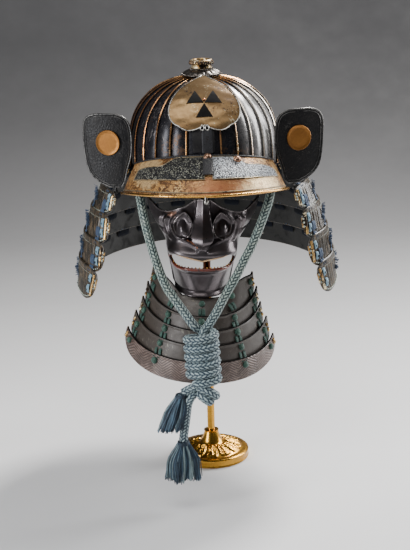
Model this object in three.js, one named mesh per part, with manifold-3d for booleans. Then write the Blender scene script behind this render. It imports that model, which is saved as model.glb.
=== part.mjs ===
// Kabuto: a ribbed samurai helmet with its neck guard, face mask, throat guard and chin cord,
// shown on a small brass stand.
// Millimetres, +Z up, front towards -Y, origin on the floor under the middle of the stand's foot.

import * as THREE from 'three';
import { mergeVertices } from 'three/addons/utils/BufferGeometryUtils.js';
import Module from 'manifold-3d';

const wasm = await Module();
wasm.setup();

// ---- driving dimensions ------------------------------------------------------------------

const GAP = 0.4; // clearance left between pieces that touch
const WALL = 2.2; // iron and lacquered plates

const BOWL = { foot: 446, base: 453, height: 116, halfWidth: 103, halfDepth: 117, power: 3.1 };
const RIBS = { count: 28, height: 3, halfWidth: 2.2 };
const CROWN_HOLE = 10;
const BAND = { low: 440, high: 449.5, thick: 2 };

const VISOR = { centreJoint: 478, endJoint: 458, centreEdge: 434.5, endEdge: 419, thick: 2.4 };
const VISOR_ARC = { joint: 62, edge: 81, edgeHalfWidth: 114, edgeHalfDepth: 128, edgeCentre: -40 };
const RIM_RADIUS = 2.2;

const CREST = { foot: [-117, 511], bend: [-99, 558], tip: [-42, 575], thick: 2 };
const EAR = { x: 131.5, y: -45, z: 486, sweep: 0.3, thick: 2.5, discRadius: 17.5 };

const MASK = { x: -3.6, z: 400, roll: 2.2, backLine: -20, wall: 3 };
const THROAT = { x: -9, z: 310, roll: 4.5, backLine: -30 };

const CORD_RADIUS = 6;
const POST = { radius: 5.5, foot: 41.4, top: 547 };
const FOOT_RADIUS = 55;

// Neck guard: lower edge of each plate lies outside the upper edge of the next one down.
// back and end heights; half-width beside the ears; where the front end stops.
const NECK_EDGES = [
  { half: 111.5, back: 449, end: 449, endX: 104.8, endY: -45.5 },
  { half: 143.0, back: 417, end: 422, endX: 119.0, endY: -41.4 },
  { half: 146.8, back: 424, end: 419, endX: 123.0, endY: -62.0 },
  { half: 160.0, back: 385, end: 388, endX: 130.0, endY: -65.0 },
  { half: 163.0, back: 392, end: 388, endX: 133.0, endY: -65.5 },
  { half: 172.0, back: 353, end: 344, endX: 138.5, endY: -66.0 },
  { half: 174.7, back: 360, end: 348, endX: 141.5, endY: -66.5 },
  { half: 180.5, back: 321, end: 302, endX: 148.0, endY: -66.0 },
  { half: 183.6, back: 328, end: 307, endX: 152.5, endY: -65.0 },
  { half: 187.0, back: 289, end: 261, endX: 165.0, endY: -60.0 },
];
const BACK_EXTRA = 14.2; // the neck guard is this much deeper at the back than it is wide

// Throat guard: upper and lower edge of each plate, at its middle and at its corners.
const THROAT_EDGES = [
  { depth: 97, half: 69.5, middle: 283, corner: 307 },
  { depth: 117, half: 73.0, middle: 257, corner: 279 },
  { depth: 119, half: 76.0, middle: 263, corner: 286 },
  { depth: 125, half: 78.5, middle: 238, corner: 257 },
  { depth: 127, half: 81.5, middle: 245, corner: 264 },
  { depth: 131, half: 86.5, middle: 219, corner: 234 },
  { depth: 133, half: 90.0, middle: 226, corner: 243 },
  { depth: 137, half: 96.0, middle: 197, corner: 212 },
  { depth: 139, half: 99.5, middle: 204, corner: 218 },
  { depth: 141, half: 104.0, middle: 176, corner: 200 },
];
const THROAT_END = 36; // the corners lie this far in front of the throat guard's back line

// Face mask: half-width, depth from the back line and squareness of each level.
const MASK_LEVELS = [
  { z: 280, half: 40, depth: 108, square: 2.4 },
  { z: 300, half: 41.5, depth: 109, square: 2.5 },
  { z: 318, half: 45, depth: 108, square: 2.8 },
  { z: 338, half: 50, depth: 109, square: 3.0 },
  { z: 352, half: 53, depth: 104, square: 2.8 },
  { z: 370, half: 66, depth: 93, square: 2.4 },
  { z: 386, half: 75, depth: 86, square: 2.2 },
  { z: 402, half: 79, depth: 84, square: 2.2 },
  { z: 425, half: 80, depth: 85, square: 2.2 },
];
// Nose: how far it stands out, and the half-width of its flat front.
const NOSE_LEVELS = [
  { z: 344, out: 0, half: 4 },
  { z: 352, out: 6, half: 5 },
  { z: 357, out: 20, half: 8 },
  { z: 362, out: 29, half: 12 },
  { z: 368, out: 32, half: 13.5 },
  { z: 375, out: 29, half: 13 },
  { z: 387, out: 22, half: 11.5 },
  { z: 401, out: 16, half: 10 },
  { z: 416, out: 13, half: 9 },
  { z: 430, out: 11, half: 8 },
];
// Upper and lower edge of the mask, from the nose round to the ear.
const MASK_EDGES = [
  { turn: 0, top: 417, bottom: 286 },
  { turn: 16, top: 404, bottom: 286 },
  { turn: 32, top: 396, bottom: 286.5 },
  { turn: 48, top: 396, bottom: 287.5 },
  { turn: 62, top: 402, bottom: 290 },
  { turn: 76, top: 405, bottom: 300 },
  { turn: 90, top: 403, bottom: 335 },
];
const MOUTH = { half: 44.5, corner: 336.5, top: 335.5, rise: 8, bottom: 322.5, wing: 34 };

// ---- small helpers ------------------------------------------------------------------------

const radians = THREE.MathUtils.degToRad;
const lerp = THREE.MathUtils.lerp;
const smoothstep = THREE.MathUtils.smoothstep;

function spread(from, to, steps) {
  return Array.from({ length: steps + 1 }, (_, i) => lerp(from, to, i / steps));
}

// A value from a short table, eased through the rows on both sides of the key.
function fromTable(rows, key, at, name) {
  let i = 0;
  while (i < rows.length - 2 && at > rows[i + 1][key]) i += 1;
  const [a, b] = [rows[i], rows[i + 1]];
  const before = rows[i - 1] ?? a;
  const after = rows[i + 2] ?? b;
  const span = b[key] - a[key];
  const t = THREE.MathUtils.clamp((at - a[key]) / span, 0, 1);
  const slopeA = before === a ? 0 : (span * (b[name] - before[name])) / (b[key] - before[key]);
  const slopeB = after === b ? 0 : (span * (after[name] - a[name])) / (after[key] - a[key]);
  const t2 = t * t;
  const t3 = t2 * t;
  return (
    a[name] * (2 * t3 - 3 * t2 + 1) + slopeA * (t3 - 2 * t2 + t) +
    b[name] * (3 * t2 - 2 * t3) + slopeB * (t3 - t2)
  );
}

function signedVolume(positions, index) {
  let sum = 0;
  for (let i = 0; i < index.length; i += 3) {
    const [a, b, c] = [index[i] * 3, index[i + 1] * 3, index[i + 2] * 3];
    sum +=
      positions[a] * (positions[b + 1] * positions[c + 2] - positions[b + 2] * positions[c + 1]) +
      positions[a + 1] * (positions[b + 2] * positions[c] - positions[b] * positions[c + 2]) +
      positions[a + 2] * (positions[b] * positions[c + 1] - positions[b + 1] * positions[c]);
  }
  return sum / 6;
}

// A geometry of shared vertices whose faces point outwards.
function closedBody(positions, index) {
  if (signedVolume(positions, index) < 0) {
    for (let i = 0; i < index.length; i += 3) {
      [index[i], index[i + 1]] = [index[i + 1], index[i]];
    }
  }
  const geometry = new THREE.BufferGeometry();
  geometry.setAttribute('position', new THREE.Float32BufferAttribute(positions, 3));
  geometry.setIndex(index);
  geometry.computeVertexNormals();
  return geometry;
}

// The shared-vertex form of any closed three.js geometry.
function welded(source) {
  const bare = source.clone();
  for (const name of Object.keys(bare.attributes)) {
    if (name !== 'position') bare.deleteAttribute(name);
  }
  const merged = mergeVertices(bare, 1e-3);
  const positions = Array.from(merged.attributes.position.array);
  const faces = [];
  for (let i = 0; i < merged.index.count; i += 3) {
    const face = [0, 1, 2].map((k) => merged.index.getX(i + k));
    if (new Set(face).size === 3) faces.push(...face);
  }
  return closedBody(positions, faces);
}

// A plate between two surfaces over the same grid; each surface gives [x, y, z] at (u, v).
function plateBetween(front, back, us, vs) {
  const columns = us.length;
  const rows = vs.length;
  const positions = [];
  for (const surface of [front, back]) {
    for (const v of vs) {
      for (const u of us) positions.push(...surface(u, v));
    }
  }
  const layer = columns * rows;
  const index = [];
  const quad = (a, b, c, d) => index.push(a, b, c, a, c, d);
  const at = (i, j) => j * columns + i;
  for (let j = 0; j < rows - 1; j += 1) {
    for (let i = 0; i < columns - 1; i += 1) {
      quad(at(i, j), at(i + 1, j), at(i + 1, j + 1), at(i, j + 1));
      quad(layer + at(i, j), layer + at(i, j + 1), layer + at(i + 1, j + 1), layer + at(i + 1, j));
    }
  }
  const edge = [];
  for (let i = 0; i < columns - 1; i += 1) edge.push(at(i, 0));
  for (let j = 0; j < rows - 1; j += 1) edge.push(at(columns - 1, j));
  for (let i = columns - 1; i > 0; i -= 1) edge.push(at(i, rows - 1));
  for (let j = rows - 1; j > 0; j -= 1) edge.push(at(0, j));
  edge.forEach((a, k) => {
    const b = edge[(k + 1) % edge.length];
    quad(b, a, layer + a, layer + b);
  });
  return closedBody(positions, index);
}

// A body skinned over rings of points: capped at both ends, or running back into itself.
function skinned(rings, joined = false) {
  const count = rings[0].length;
  const positions = rings.flat(2);
  const index = [];
  const last = joined ? rings.length : rings.length - 1;
  for (let j = 0; j < last; j += 1) {
    const next = ((j + 1) % rings.length) * count;
    for (let i = 0; i < count; i += 1) {
      const k = (i + 1) % count;
      index.push(j * count + i, j * count + k, next + k, j * count + i, next + k, next + i);
    }
  }
  if (!joined) {
    for (const [start, flip] of [[0, true], [(rings.length - 1) * count, false]]) {
      for (let i = 1; i < count - 1; i += 1) {
        const face = [start, start + i, start + i + 1];
        index.push(...(flip ? face.reverse() : face));
      }
    }
  }
  return closedBody(positions, index);
}

function latheBody(profile, sides) {
  const points = profile.map(([r, z]) => new THREE.Vector2(r, z));
  const geometry = new THREE.LatheGeometry(points, sides);
  geometry.rotateX(Math.PI / 2);
  return welded(geometry);
}

function tube(route, radius, sides, steps) {
  const section = new THREE.Shape();
  for (let i = 0; i < sides; i += 1) {
    const turn = (2 * Math.PI * i) / sides;
    const place = [radius * Math.cos(turn), radius * Math.sin(turn)];
    if (i === 0) section.moveTo(...place);
    else section.lineTo(...place);
  }
  section.closePath();
  const path = new THREE.CatmullRomCurve3(route.map((p) => new THREE.Vector3(...p)));
  return welded(new THREE.ExtrudeGeometry(section, { steps, extrudePath: path, curveSegments: 1 }));
}

// A round bead that runs all the way round a closed loop of points.
function loopTube(loop, radius, sides, axis) {
  const rings = loop.map((point, i) => {
    const before = new THREE.Vector3(...loop[(i + loop.length - 1) % loop.length]);
    const after = new THREE.Vector3(...loop[(i + 1) % loop.length]);
    const along = after.sub(before).normalize();
    const across = new THREE.Vector3().crossVectors(axis, along).normalize();
    const up = new THREE.Vector3().crossVectors(along, across);
    return Array.from({ length: sides }, (_, k) => {
      const turn = (2 * Math.PI * k) / sides;
      return new THREE.Vector3(...point)
        .addScaledVector(across, radius * Math.cos(turn))
        .addScaledVector(up, radius * Math.sin(turn))
        .toArray();
    });
  });
  return skinned(rings, true);
}

function toSolid(geometry) {
  const body = welded(geometry);
  return new wasm.Manifold(
    new wasm.Mesh({
      numProp: 3,
      vertProperties: Float32Array.from(body.attributes.position.array),
      triVerts: Uint32Array.from(body.index.array),
    }),
  );
}

function fromSolid(solid) {
  const mesh = solid.getMesh();
  return closedBody(Array.from(mesh.vertProperties), Array.from(mesh.triVerts));
}

// ---- finishes -----------------------------------------------------------------------------

function finish(color, roughness, metalness) {
  return new THREE.MeshStandardMaterial({ color, roughness, metalness });
}

const FINISHES = {
  darkIron: finish(0x23242a, 0.35, 0.8),
  gilt: finish(0xb5873f, 0.3, 0.9),
  leafLacquer: finish(0xb99157, 0.45, 0.4),
  blackLeather: finish(0x26272b, 0.5, 0.1),
  tarnishedSilver: finish(0x8d7a58, 0.4, 0.7),
  silverEdge: finish(0xaaa79e, 0.3, 0.9),
  blackLacquer: finish(0x1c1b1c, 0.3, 0.1),
  maskIron: finish(0x2c2526, 0.28, 0.7),
  brownLacquer: finish(0x4b423c, 0.4, 0.2),
  silkCord: finish(0x7f9ba0, 0.8, 0.0),
  silkThread: finish(0x3b5263, 0.85, 0.0),
  brass: finish(0xc49a3c, 0.22, 0.95),
};

function piece(name, geometry, material) {
  const mesh = new THREE.Mesh(geometry, material);
  mesh.name = name;
  return mesh;
}

// ---- bowl ---------------------------------------------------------------------------------

// Share of the base radius that the bowl keeps at a height over its base.
function bowlShare(rise, height) {
  return Math.sqrt(Math.max(0, 1 - (Math.max(0, rise) / height) ** BOWL.power));
}

function bowlColumns() {
  const pitch = (2 * Math.PI) / RIBS.count;
  const columns = [];
  for (let k = 0; k < RIBS.count; k += 1) {
    for (const side of [-1, 0, 1]) columns.push({ middle: k * pitch, side, rib: k > 0 && side === 0 });
  }
  return columns;
}

function bowlRing(z, halfWidth, halfDepth, share, ribs) {
  const pitch = (2 * Math.PI) / RIBS.count;
  return bowlColumns().map(({ middle, side, rib }) => {
    const half = Math.min(0.4 * pitch, RIBS.halfWidth / (halfWidth * share));
    const turn = middle + side * half;
    const fade = Math.min(1, share / 0.5);
    const out = ribs && rib ? RIBS.height * fade : 0;
    const x = (halfWidth * share + out) * Math.sin(turn);
    const y = -(halfDepth * share + out) * Math.cos(turn);
    return [x, y, z];
  });
}

function helmetBowl() {
  const outerTurns = [10, 22, 36, 50, 64, 77];
  const rings = [bowlRing(BOWL.foot, BOWL.halfWidth, BOWL.halfDepth, 1, true)];
  for (const turn of outerTurns) {
    const rise = BOWL.height * Math.sin(radians(turn)) ** (2 / BOWL.power);
    const share = bowlShare(rise, BOWL.height);
    rings.push(bowlRing(BOWL.base + rise, BOWL.halfWidth, BOWL.halfDepth, share, true));
  }
  const width = BOWL.halfWidth - WALL;
  const depth = BOWL.halfDepth - WALL;
  const height = BOWL.height - WALL;
  const holeShare = CROWN_HOLE / BOWL.halfWidth;
  const holeTop = BOWL.base + BOWL.height * (1 - holeShare ** 2) ** (1 / BOWL.power);
  const holeLow = BOWL.base + height * (1 - (CROWN_HOLE / width) ** 2) ** (1 / BOWL.power);
  rings.push(bowlRing(holeTop, BOWL.halfWidth, BOWL.halfDepth, holeShare, false));
  rings.push(bowlRing(holeLow, width, depth, CROWN_HOLE / width, false));
  for (const turn of [64, 36, 12]) {
    const rise = height * Math.sin(radians(turn)) ** (2 / BOWL.power);
    rings.push(bowlRing(BOWL.base + rise, width, depth, bowlShare(rise, height), false));
  }
  rings.push(bowlRing(BOWL.foot, width, depth, 1, false));
  return skinned(rings, true);
}

function ellipseRing(z, halfWidth, halfDepth, sides) {
  return Array.from({ length: sides }, (_, i) => {
    const turn = (2 * Math.PI * i) / sides;
    return [halfWidth * Math.sin(turn), -halfDepth * Math.cos(turn), z];
  });
}

function bowlBand() {
  const inner = RIBS.height + GAP;
  const outer = inner + BAND.thick;
  const ring = (z, out) => ellipseRing(z, BOWL.halfWidth + out, BOWL.halfDepth + out, 56);
  return skinned(
    [ring(BAND.low, outer), ring(BAND.high, outer), ring(BAND.high, inner), ring(BAND.low, inner)],
    true,
  );
}

// ---- crown fitting ------------------------------------------------------------------------

function crownPlate() {
  const profile = [[11, 572], [18, 571.5], [27, 569.8], [28, 571.5], [26.5, 573.5], [19, 576.5]];
  return latheBody([...profile, [14.5, 578.4], [11, 578.4], [11, 572]], 14);
}

function crownRing() {
  const profile = [[10.5, 578.8], [13.6, 578.8], [14, 582.5], [12.6, 583.5], [15.4, 584.6]];
  return latheBody(
    [...profile, [16.4, 587.6], [15.2, 590.6], [12.6, 592], [10.5, 590.6], [10.5, 578.8]],
    14,
  );
}

// ---- visor --------------------------------------------------------------------------------

// u runs from -1 at the left end to 1 at the right end, v from the joint to the outer edge.
function visorPoint(u, v, lift = 0) {
  const inner = radians(VISOR_ARC.joint * u);
  const outer = radians(VISOR_ARC.edge * u);
  const jointHalf = BOWL.halfWidth + RIBS.height + 1;
  const jointDepth = BOWL.halfDepth + RIBS.height + 1;
  const joint = [
    jointHalf * Math.sin(inner),
    -jointDepth * Math.cos(inner),
    lerp(VISOR.centreJoint, VISOR.endJoint, u * u),
  ];
  const edge = [
    VISOR_ARC.edgeHalfWidth * Math.sin(outer),
    VISOR_ARC.edgeCentre - VISOR_ARC.edgeHalfDepth * Math.cos(outer),
    lerp(VISOR.centreEdge, VISOR.endEdge, Math.abs(u) ** 2.4),
  ];
  const swell = 4 * Math.sin(Math.PI * v) * (1 - 0.5 * u * u);
  return [
    lerp(joint[0], edge[0], v),
    lerp(joint[1], edge[1], v) - 0.7 * (swell + lift),
    lerp(joint[2], edge[2], v) + 0.7 * (swell + lift),
  ];
}

function visorSheet() {
  const us = spread(-1, 1, 20);
  const vs = spread(0, 1, 4);
  const under = (u, v) => {
    const [x, y, z] = visorPoint(u, v);
    return [x, y, z - VISOR.thick];
  };
  return plateBetween((u, v) => visorPoint(u, v), under, us, vs);
}

function visorRim() {
  const reach = RIM_RADIUS + GAP;
  const route = spread(-1, 1, 20).map((u) => {
    const turn = radians(VISOR_ARC.edge * u);
    const [x, y, z] = visorPoint(u, 1);
    return [x + reach * Math.sin(turn), y - reach * Math.cos(turn), z - 1.4];
  });
  return tube(route, RIM_RADIUS, 6, 20);
}

// The leather covers the upper part of the visor on each side of the middle strap.
function visorPanel(side) {
  const from = side < 0 ? 0.015 : 0.135;
  const top = (u) => 0.05 + 0.24 * smoothstep(u, 0.3, 0.5) + 0.22 * Math.max(0, (u - 0.6) / 0.28) ** 3;
  const surface = (lift) => (p, q) => {
    const u = lerp(from, 0.88, p);
    return visorPoint(side * u, lerp(top(u), 0.62, q), lift);
  };
  return plateBetween(surface(2), surface(2.2 * GAP), spread(0, 1, 10), spread(0, 1, 2));
}

const STRAP = { x: 5, half: 7 };

function visorStrap() {
  const u = (x) => x / (VISOR_ARC.edgeHalfWidth * 1.35);
  const surface = (lift) => (p, q) => {
    const [, y, z] = visorPoint(u(STRAP.x), lerp(0.13, 0.56, q), lift);
    return [lerp(STRAP.x - STRAP.half, STRAP.x + STRAP.half, p), y, z];
  };
  return plateBetween(surface(4), surface(2 + 2 * GAP), [0, 0.5, 1], spread(0, 1, 3));
}

function domeRivet(radius, height) {
  const profile = [[0, 0], [radius, 0], [radius * 0.92, height * 0.4], [radius * 0.6, height * 0.8]];
  return latheBody([...profile, [0, height]], 12);
}

// A dome-headed rivet set on a surface, its axis along the outward direction.
function rivet(name, place, outward, radius) {
  const mesh = piece(name, domeRivet(radius, radius * 0.75), FINISHES.gilt);
  mesh.position.set(...place);
  mesh.quaternion.setFromUnitVectors(new THREE.Vector3(0, 0, 1), new THREE.Vector3(...outward).normalize());
  return mesh;
}

// ---- crest and its strap ------------------------------------------------------------------

function bowlFrontY(z) {
  return -BOWL.halfDepth * bowlShare(z - BOWL.base, BOWL.height);
}

// The iron strap lies on the bowl's front plate, below and behind the crest.
function strapSheet(x, half, lift, thick, low, high) {
  const surface = (out) => (p, q) => {
    const z = lerp(low, high, q);
    return [lerp(x - half, x + half, p), bowlFrontY(z) - out, z + 0.3 * out * smoothstep(z, 500, 560)];
  };
  return plateBetween(surface(lift + thick), surface(lift), [0, 0.5, 1], spread(0, 1, 5));
}

function crestPath(s) {
  const mix = (i) =>
    (1 - s) ** 2 * CREST.foot[i] + 2 * s * (1 - s) * CREST.bend[i] + s * s * CREST.tip[i];
  const slope = (i) => 2 * (1 - s) * (CREST.bend[i] - CREST.foot[i]) + 2 * s * (CREST.tip[i] - CREST.bend[i]);
  const length = Math.hypot(slope(0), slope(1));
  return { y: mix(0), z: mix(1), outY: -slope(1) / length, outZ: slope(0) / length };
}

// x across, s from the foot of the lobes (0) to the tip (1), out along the plate's outward normal.
function crestPoint(x, s, out) {
  const { y, z, outY, outZ } = crestPath(s);
  const curl = 0.0022 * x * x;
  return [x, y + outY * (out - curl), z + outZ * (out - curl)];
}

const CREST_LENGTH = 97;
const CREST_HALF = [
  { s: 0, half: 34 },
  { s: 0.07, half: 42 },
  { s: 0.16, half: 47.5 },
  { s: 0.28, half: 50 },
  { s: 0.42, half: 48.5 },
  { s: 0.57, half: 43 },
  { s: 0.72, half: 33 },
  { s: 0.86, half: 18 },
  { s: 0.95, half: 6.5 },
  { s: 1, half: 2.5 },
];

function crestPlate() {
  const lobe = (x) => {
    const a = Math.abs(x);
    return a < 22 ? 7 * (1 - a / 22) ** 2 : 5 * ((a - 22) / 12) ** 2;
  };
  const surface = (out) => (u, v) => {
    const half = fromTable(CREST_HALF, 's', v, 'half');
    const rise = (lobe(34 * u) * (1 - v) ** 5) / CREST_LENGTH;
    return crestPoint(half * u, Math.min(1, v + rise), out);
  };
  const us = [-1, -0.78, -0.55, -0.32, -0.14, 0, 0.14, 0.32, 0.55, 0.78, 1];
  const vs = [0, 0.06, 0.13, 0.26, 0.41, 0.56, 0.71, 0.85, 0.94, 1];
  return plateBetween(surface(0), surface(-CREST.thick), us, vs);
}

// Each triangle stands on its base; the three meet at the middle of the crest.
function crestTriangle(x, foot) {
  const side = 24;
  const height = side * Math.sqrt(0.75);
  const surface = (out) => (u, v) => {
    const half = lerp(side / 2, 0.3, v);
    return crestPoint(x + half * u, (foot + height * v) / CREST_LENGTH, out);
  };
  return plateBetween(surface(1.1), surface(0.5), [-1, 0, 1], [0, 0.5, 1]);
}

// ---- ear plates ---------------------------------------------------------------------------

// Heights over the disc, with the edge towards the helmet and the edge away from it.
const EAR_ROWS = [
  { rise: -61, inner: 16, outer: 0 },
  { rise: -57, inner: 18.5, outer: -9 },
  { rise: -50, inner: 21, outer: -19 },
  { rise: -38, inner: 24, outer: -27.5 },
  { rise: -18, inner: 30, outer: -31.5 },
  { rise: 4, inner: 31.5, outer: -33 },
  { rise: 20, inner: 30, outer: -33 },
  { rise: 29.5, inner: 26.5, outer: -30.5 },
  { rise: 35, inner: 20.5, outer: -25 },
  { rise: 37.8, inner: 13, outer: -16 },
];

// q is measured from the disc towards the helmet.
function earPoint(side, q, rise, out) {
  const y = EAR.y - EAR.sweep * q + 0.0035 * q * q - 2;
  return [side * (EAR.x - q), y - out, EAR.z + rise];
}

function earPlate(side) {
  const surface = (out) => (u, v) => {
    const rise = lerp(EAR_ROWS[0].rise, EAR_ROWS.at(-1).rise, v);
    const inner = fromTable(EAR_ROWS, 'rise', rise, 'inner');
    const outer = fromTable(EAR_ROWS, 'rise', rise, 'outer');
    return earPoint(side, lerp(outer, inner, u), rise, out);
  };
  const reach = EAR_ROWS.at(-1).rise - EAR_ROWS[0].rise;
  const vs = EAR_ROWS.map((row) => (row.rise - EAR_ROWS[0].rise) / reach);
  return plateBetween(surface(0), surface(-EAR.thick), spread(0, 1, 4), vs);
}

function earRim(side) {
  const radius = 1.3;
  const up = EAR_ROWS.map(({ rise, inner }) => [inner, rise]);
  const down = EAR_ROWS.map(({ rise, outer }) => [outer, rise]).reverse();
  const outline = [...up, ...down];
  const reach = radius + GAP + 0.3;
  const loop = outline.map(([q, rise], i) => {
    const [q0, r0] = outline[(i + outline.length - 1) % outline.length];
    const [q1, r1] = outline[(i + 1) % outline.length];
    const length = Math.hypot(q1 - q0, r1 - r0);
    return earPoint(side, q + (reach * (r1 - r0)) / length, rise - (reach * (q1 - q0)) / length, -EAR.thick / 2);
  });
  return loopTube(loop, radius, 4, new THREE.Vector3(0, 1, 0));
}

function earDisc(side) {
  const profile = [[0, 0], [EAR.discRadius, 0], [EAR.discRadius, 1.6], [EAR.discRadius - 1.6, 2.6]];
  const mesh = piece(
    side < 0 ? 'ear_disc_left' : 'ear_disc_right',
    latheBody([...profile, [EAR.discRadius - 2.4, 1.9], [0, 2.2]], 18),
    FINISHES.gilt,
  );
  const [x, y, z] = earPoint(side, 0, 0, 0.7);
  mesh.position.set(x, y, z);
  const outward = new THREE.Vector3(side * EAR.sweep, -1, 0).normalize();
  mesh.quaternion.setFromUnitVectors(new THREE.Vector3(0, 0, 1), outward);
  return mesh;
}

// ---- neck guard ---------------------------------------------------------------------------

// A point of one edge; u runs from the left front end (-1) past the back (0) to the right (1).
function neckEdge(edge, u, inset) {
  const endTurn = Math.PI - Math.asin(edge.endX / edge.half);
  const front = edge.endY / Math.cos(endTurn);
  const turn = endTurn * u;
  const back = edge.half + BACK_EXTRA;
  const depth = Math.cos(turn) > 0 ? back : front;
  const droop = Math.abs(u) ** 2.2;
  return [
    (edge.half - inset) * Math.sin(turn),
    (depth - inset) * Math.cos(turn),
    lerp(edge.back, edge.end, droop),
  ];
}

function neckLame(number) {
  const top = NECK_EDGES[2 * number - 2];
  const bottom = NECK_EDGES[2 * number - 1];
  const cornerStart = 0.92;
  const corner = number === 1 ? 0 : 0.42;
  const surface = (inset) => (u, v) => {
    const q = Math.max(0, (Math.abs(u) - cornerStart) / (1 - cornerStart));
    const round = 1 - Math.sqrt(Math.max(0, 1 - q * q));
    const low = 1 - corner * round;
    const high = 0.6 * corner * round;
    const a = neckEdge(top, u, inset);
    const b = neckEdge(bottom, u, inset);
    const t = lerp(high, low, v);
    return a.map((value, i) => lerp(value, b[i], t));
  };
  const half = [0.985, 0.955, 0.92];
  const middle = spread(-0.84, 0.84, 17);
  const us = [-1, ...half.map((h) => -h), ...middle, ...half.reverse(), 1];
  return plateBetween(surface(0), surface(WALL), us, [0, 1]);
}

// ---- face mask ----------------------------------------------------------------------------

function bump(distance) {
  return Math.exp(-distance * distance);
}

// How far the mask stands out from its plain wall at (x, z).
function maskRelief(x, z) {
  const a = Math.abs(x);
  const nose = fromTable(NOSE_LEVELS, 'z', z, 'out');
  const noseHalf = fromTable(NOSE_LEVELS, 'z', z, 'half');
  const flat = 1 - 0.2 * Math.min(1, a / noseHalf);
  const ridge = nose * flat * (1 - smoothstep(a, noseHalf, noseHalf + 6));
  const wingDistance = Math.hypot((a - 26.5) / 13, (z - 381) / 17);
  const wing = 12 * bump(wingDistance * 0.95) * smoothstep(a, noseHalf - 2, noseHalf + 6);
  const wingRim = 3.5 * bump((wingDistance - 0.95) / 0.2) * smoothstep(a, noseHalf, noseHalf + 5);
  const nostril = 4 * bump(Math.hypot(a - 20, z - 366) / 6) * smoothstep(a, noseHalf, noseHalf + 4);
  const lip = 8 * bump((z - 345) / 8) * (1 - smoothstep(a, 36, 50));
  const lowerLip = 4 * bump((z - (318.5 + 14 * (a / 46) ** 4)) / 4) * (1 - smoothstep(a, 42, 50));
  const chinFlange = 4 * bump((z - 284.5) / 4);
  const cheek = 5 * bump(Math.hypot((a - 52) / 9, (z - 388) / 10));
  return Math.max(ridge, wing) + wingRim + nostril + lip + lowerLip + chinFlange + cheek;
}

function maskPoint(u, v, inset) {
  const turn = 90 * u;
  const top = fromTable(MASK_EDGES, 'turn', Math.abs(turn), 'top');
  const bottom = fromTable(MASK_EDGES, 'turn', Math.abs(turn), 'bottom');
  const z = lerp(top, bottom, v);
  const half = fromTable(MASK_LEVELS, 'z', z, 'half');
  const depth = fromTable(MASK_LEVELS, 'z', z, 'depth');
  const power = 2 / fromTable(MASK_LEVELS, 'z', z, 'square');
  const sin = Math.sin(radians(Math.abs(turn)));
  const cos = Math.max(0, Math.cos(radians(turn)));
  const x = half * sin ** power;
  const y = depth * cos ** power;
  const out = maskRelief(Math.sign(u) * x, z) - inset;
  const normal = new THREE.Vector2((x / half) ** (2 / power - 1) / half, (y / depth) ** (2 / power - 1) / depth);
  normal.normalize();
  return [Math.sign(u) * (x + out * normal.x), MASK.backLine - y - out * normal.y, z];
}

function mouthCutter() {
  const { half, corner, top, rise, bottom } = MOUTH;
  const shape = new THREE.Shape();
  shape.moveTo(-half, corner);
  shape.quadraticCurveTo(-half + 2, top + rise + 1, -MOUTH.wing, top + rise);
  shape.quadraticCurveTo(-half * 0.3, top + rise - 4, 0, top);
  shape.quadraticCurveTo(half * 0.3, top + rise - 4, MOUTH.wing, top + rise);
  shape.quadraticCurveTo(half - 2, top + rise + 1, half, corner);
  shape.quadraticCurveTo(half - 2, bottom + 1, half * 0.6, bottom);
  shape.lineTo(-half * 0.6, bottom);
  shape.quadraticCurveTo(-half + 2, bottom + 1, -half, corner);
  const geometry = new THREE.ExtrudeGeometry(shape, { depth: 110, bevelEnabled: false, curveSegments: 4 });
  geometry.rotateX(Math.PI / 2); // the outline now stands up, its depth towards -Y
  geometry.translate(0, -60, 0);
  return geometry;
}

function faceMask() {
  const side = [0.07, 0.14, 0.2, 0.26, 0.33, 0.41, 0.5, 0.6, 0.7, 0.8, 0.9, 1];
  const us = [...side.map((s) => -s).reverse(), 0, ...side];
  const vs = [0, 0.07, 0.15, 0.23, 0.31, 0.38, 0.44, 0.5, 0.55, 0.6, 0.66, 0.72, 0.8, 0.9, 0.96, 1];
  const wall = plateBetween((u, v) => maskPoint(u, v, 0), (u, v) => maskPoint(u, v, MASK.wall), us, vs);
  return fromSolid(toSolid(wall).subtract(toSolid(mouthCutter())));
}

// ---- throat guard -------------------------------------------------------------------------

function throatEdge(edge, u, inset) {
  const endTurn = Math.acos(THROAT_END / edge.depth);
  const halfAxis = edge.half / Math.sin(endTurn);
  const turn = endTurn * u;
  return [
    (halfAxis - inset) * Math.sin(turn),
    THROAT.backLine - (edge.depth - inset) * Math.cos(turn),
    lerp(edge.middle, edge.corner, Math.abs(u) ** 3),
  ];
}

function throatLame(number) {
  const top = THROAT_EDGES[2 * number - 2];
  const bottom = THROAT_EDGES[2 * number - 1];
  const corner = number === 5 ? 0.6 : 0.25;
  const surface = (inset) => (u, v) => {
    const q = Math.max(0, (Math.abs(u) - 0.8) / 0.2);
    const low = 1 - corner * (1 - Math.sqrt(Math.max(0, 1 - q * q)));
    const a = throatEdge(top, u, inset);
    const b = throatEdge(bottom, u, inset);
    return a.map((value, i) => lerp(value, b[i], low * v));
  };
  const us = [-1, -0.96, -0.88, ...spread(-0.78, 0.78, 14), 0.88, 0.96, 1];
  return plateBetween(surface(0), surface(WALL - 0.4), us, [0, 1]);
}

// ---- chin cord ----------------------------------------------------------------------------

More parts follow.
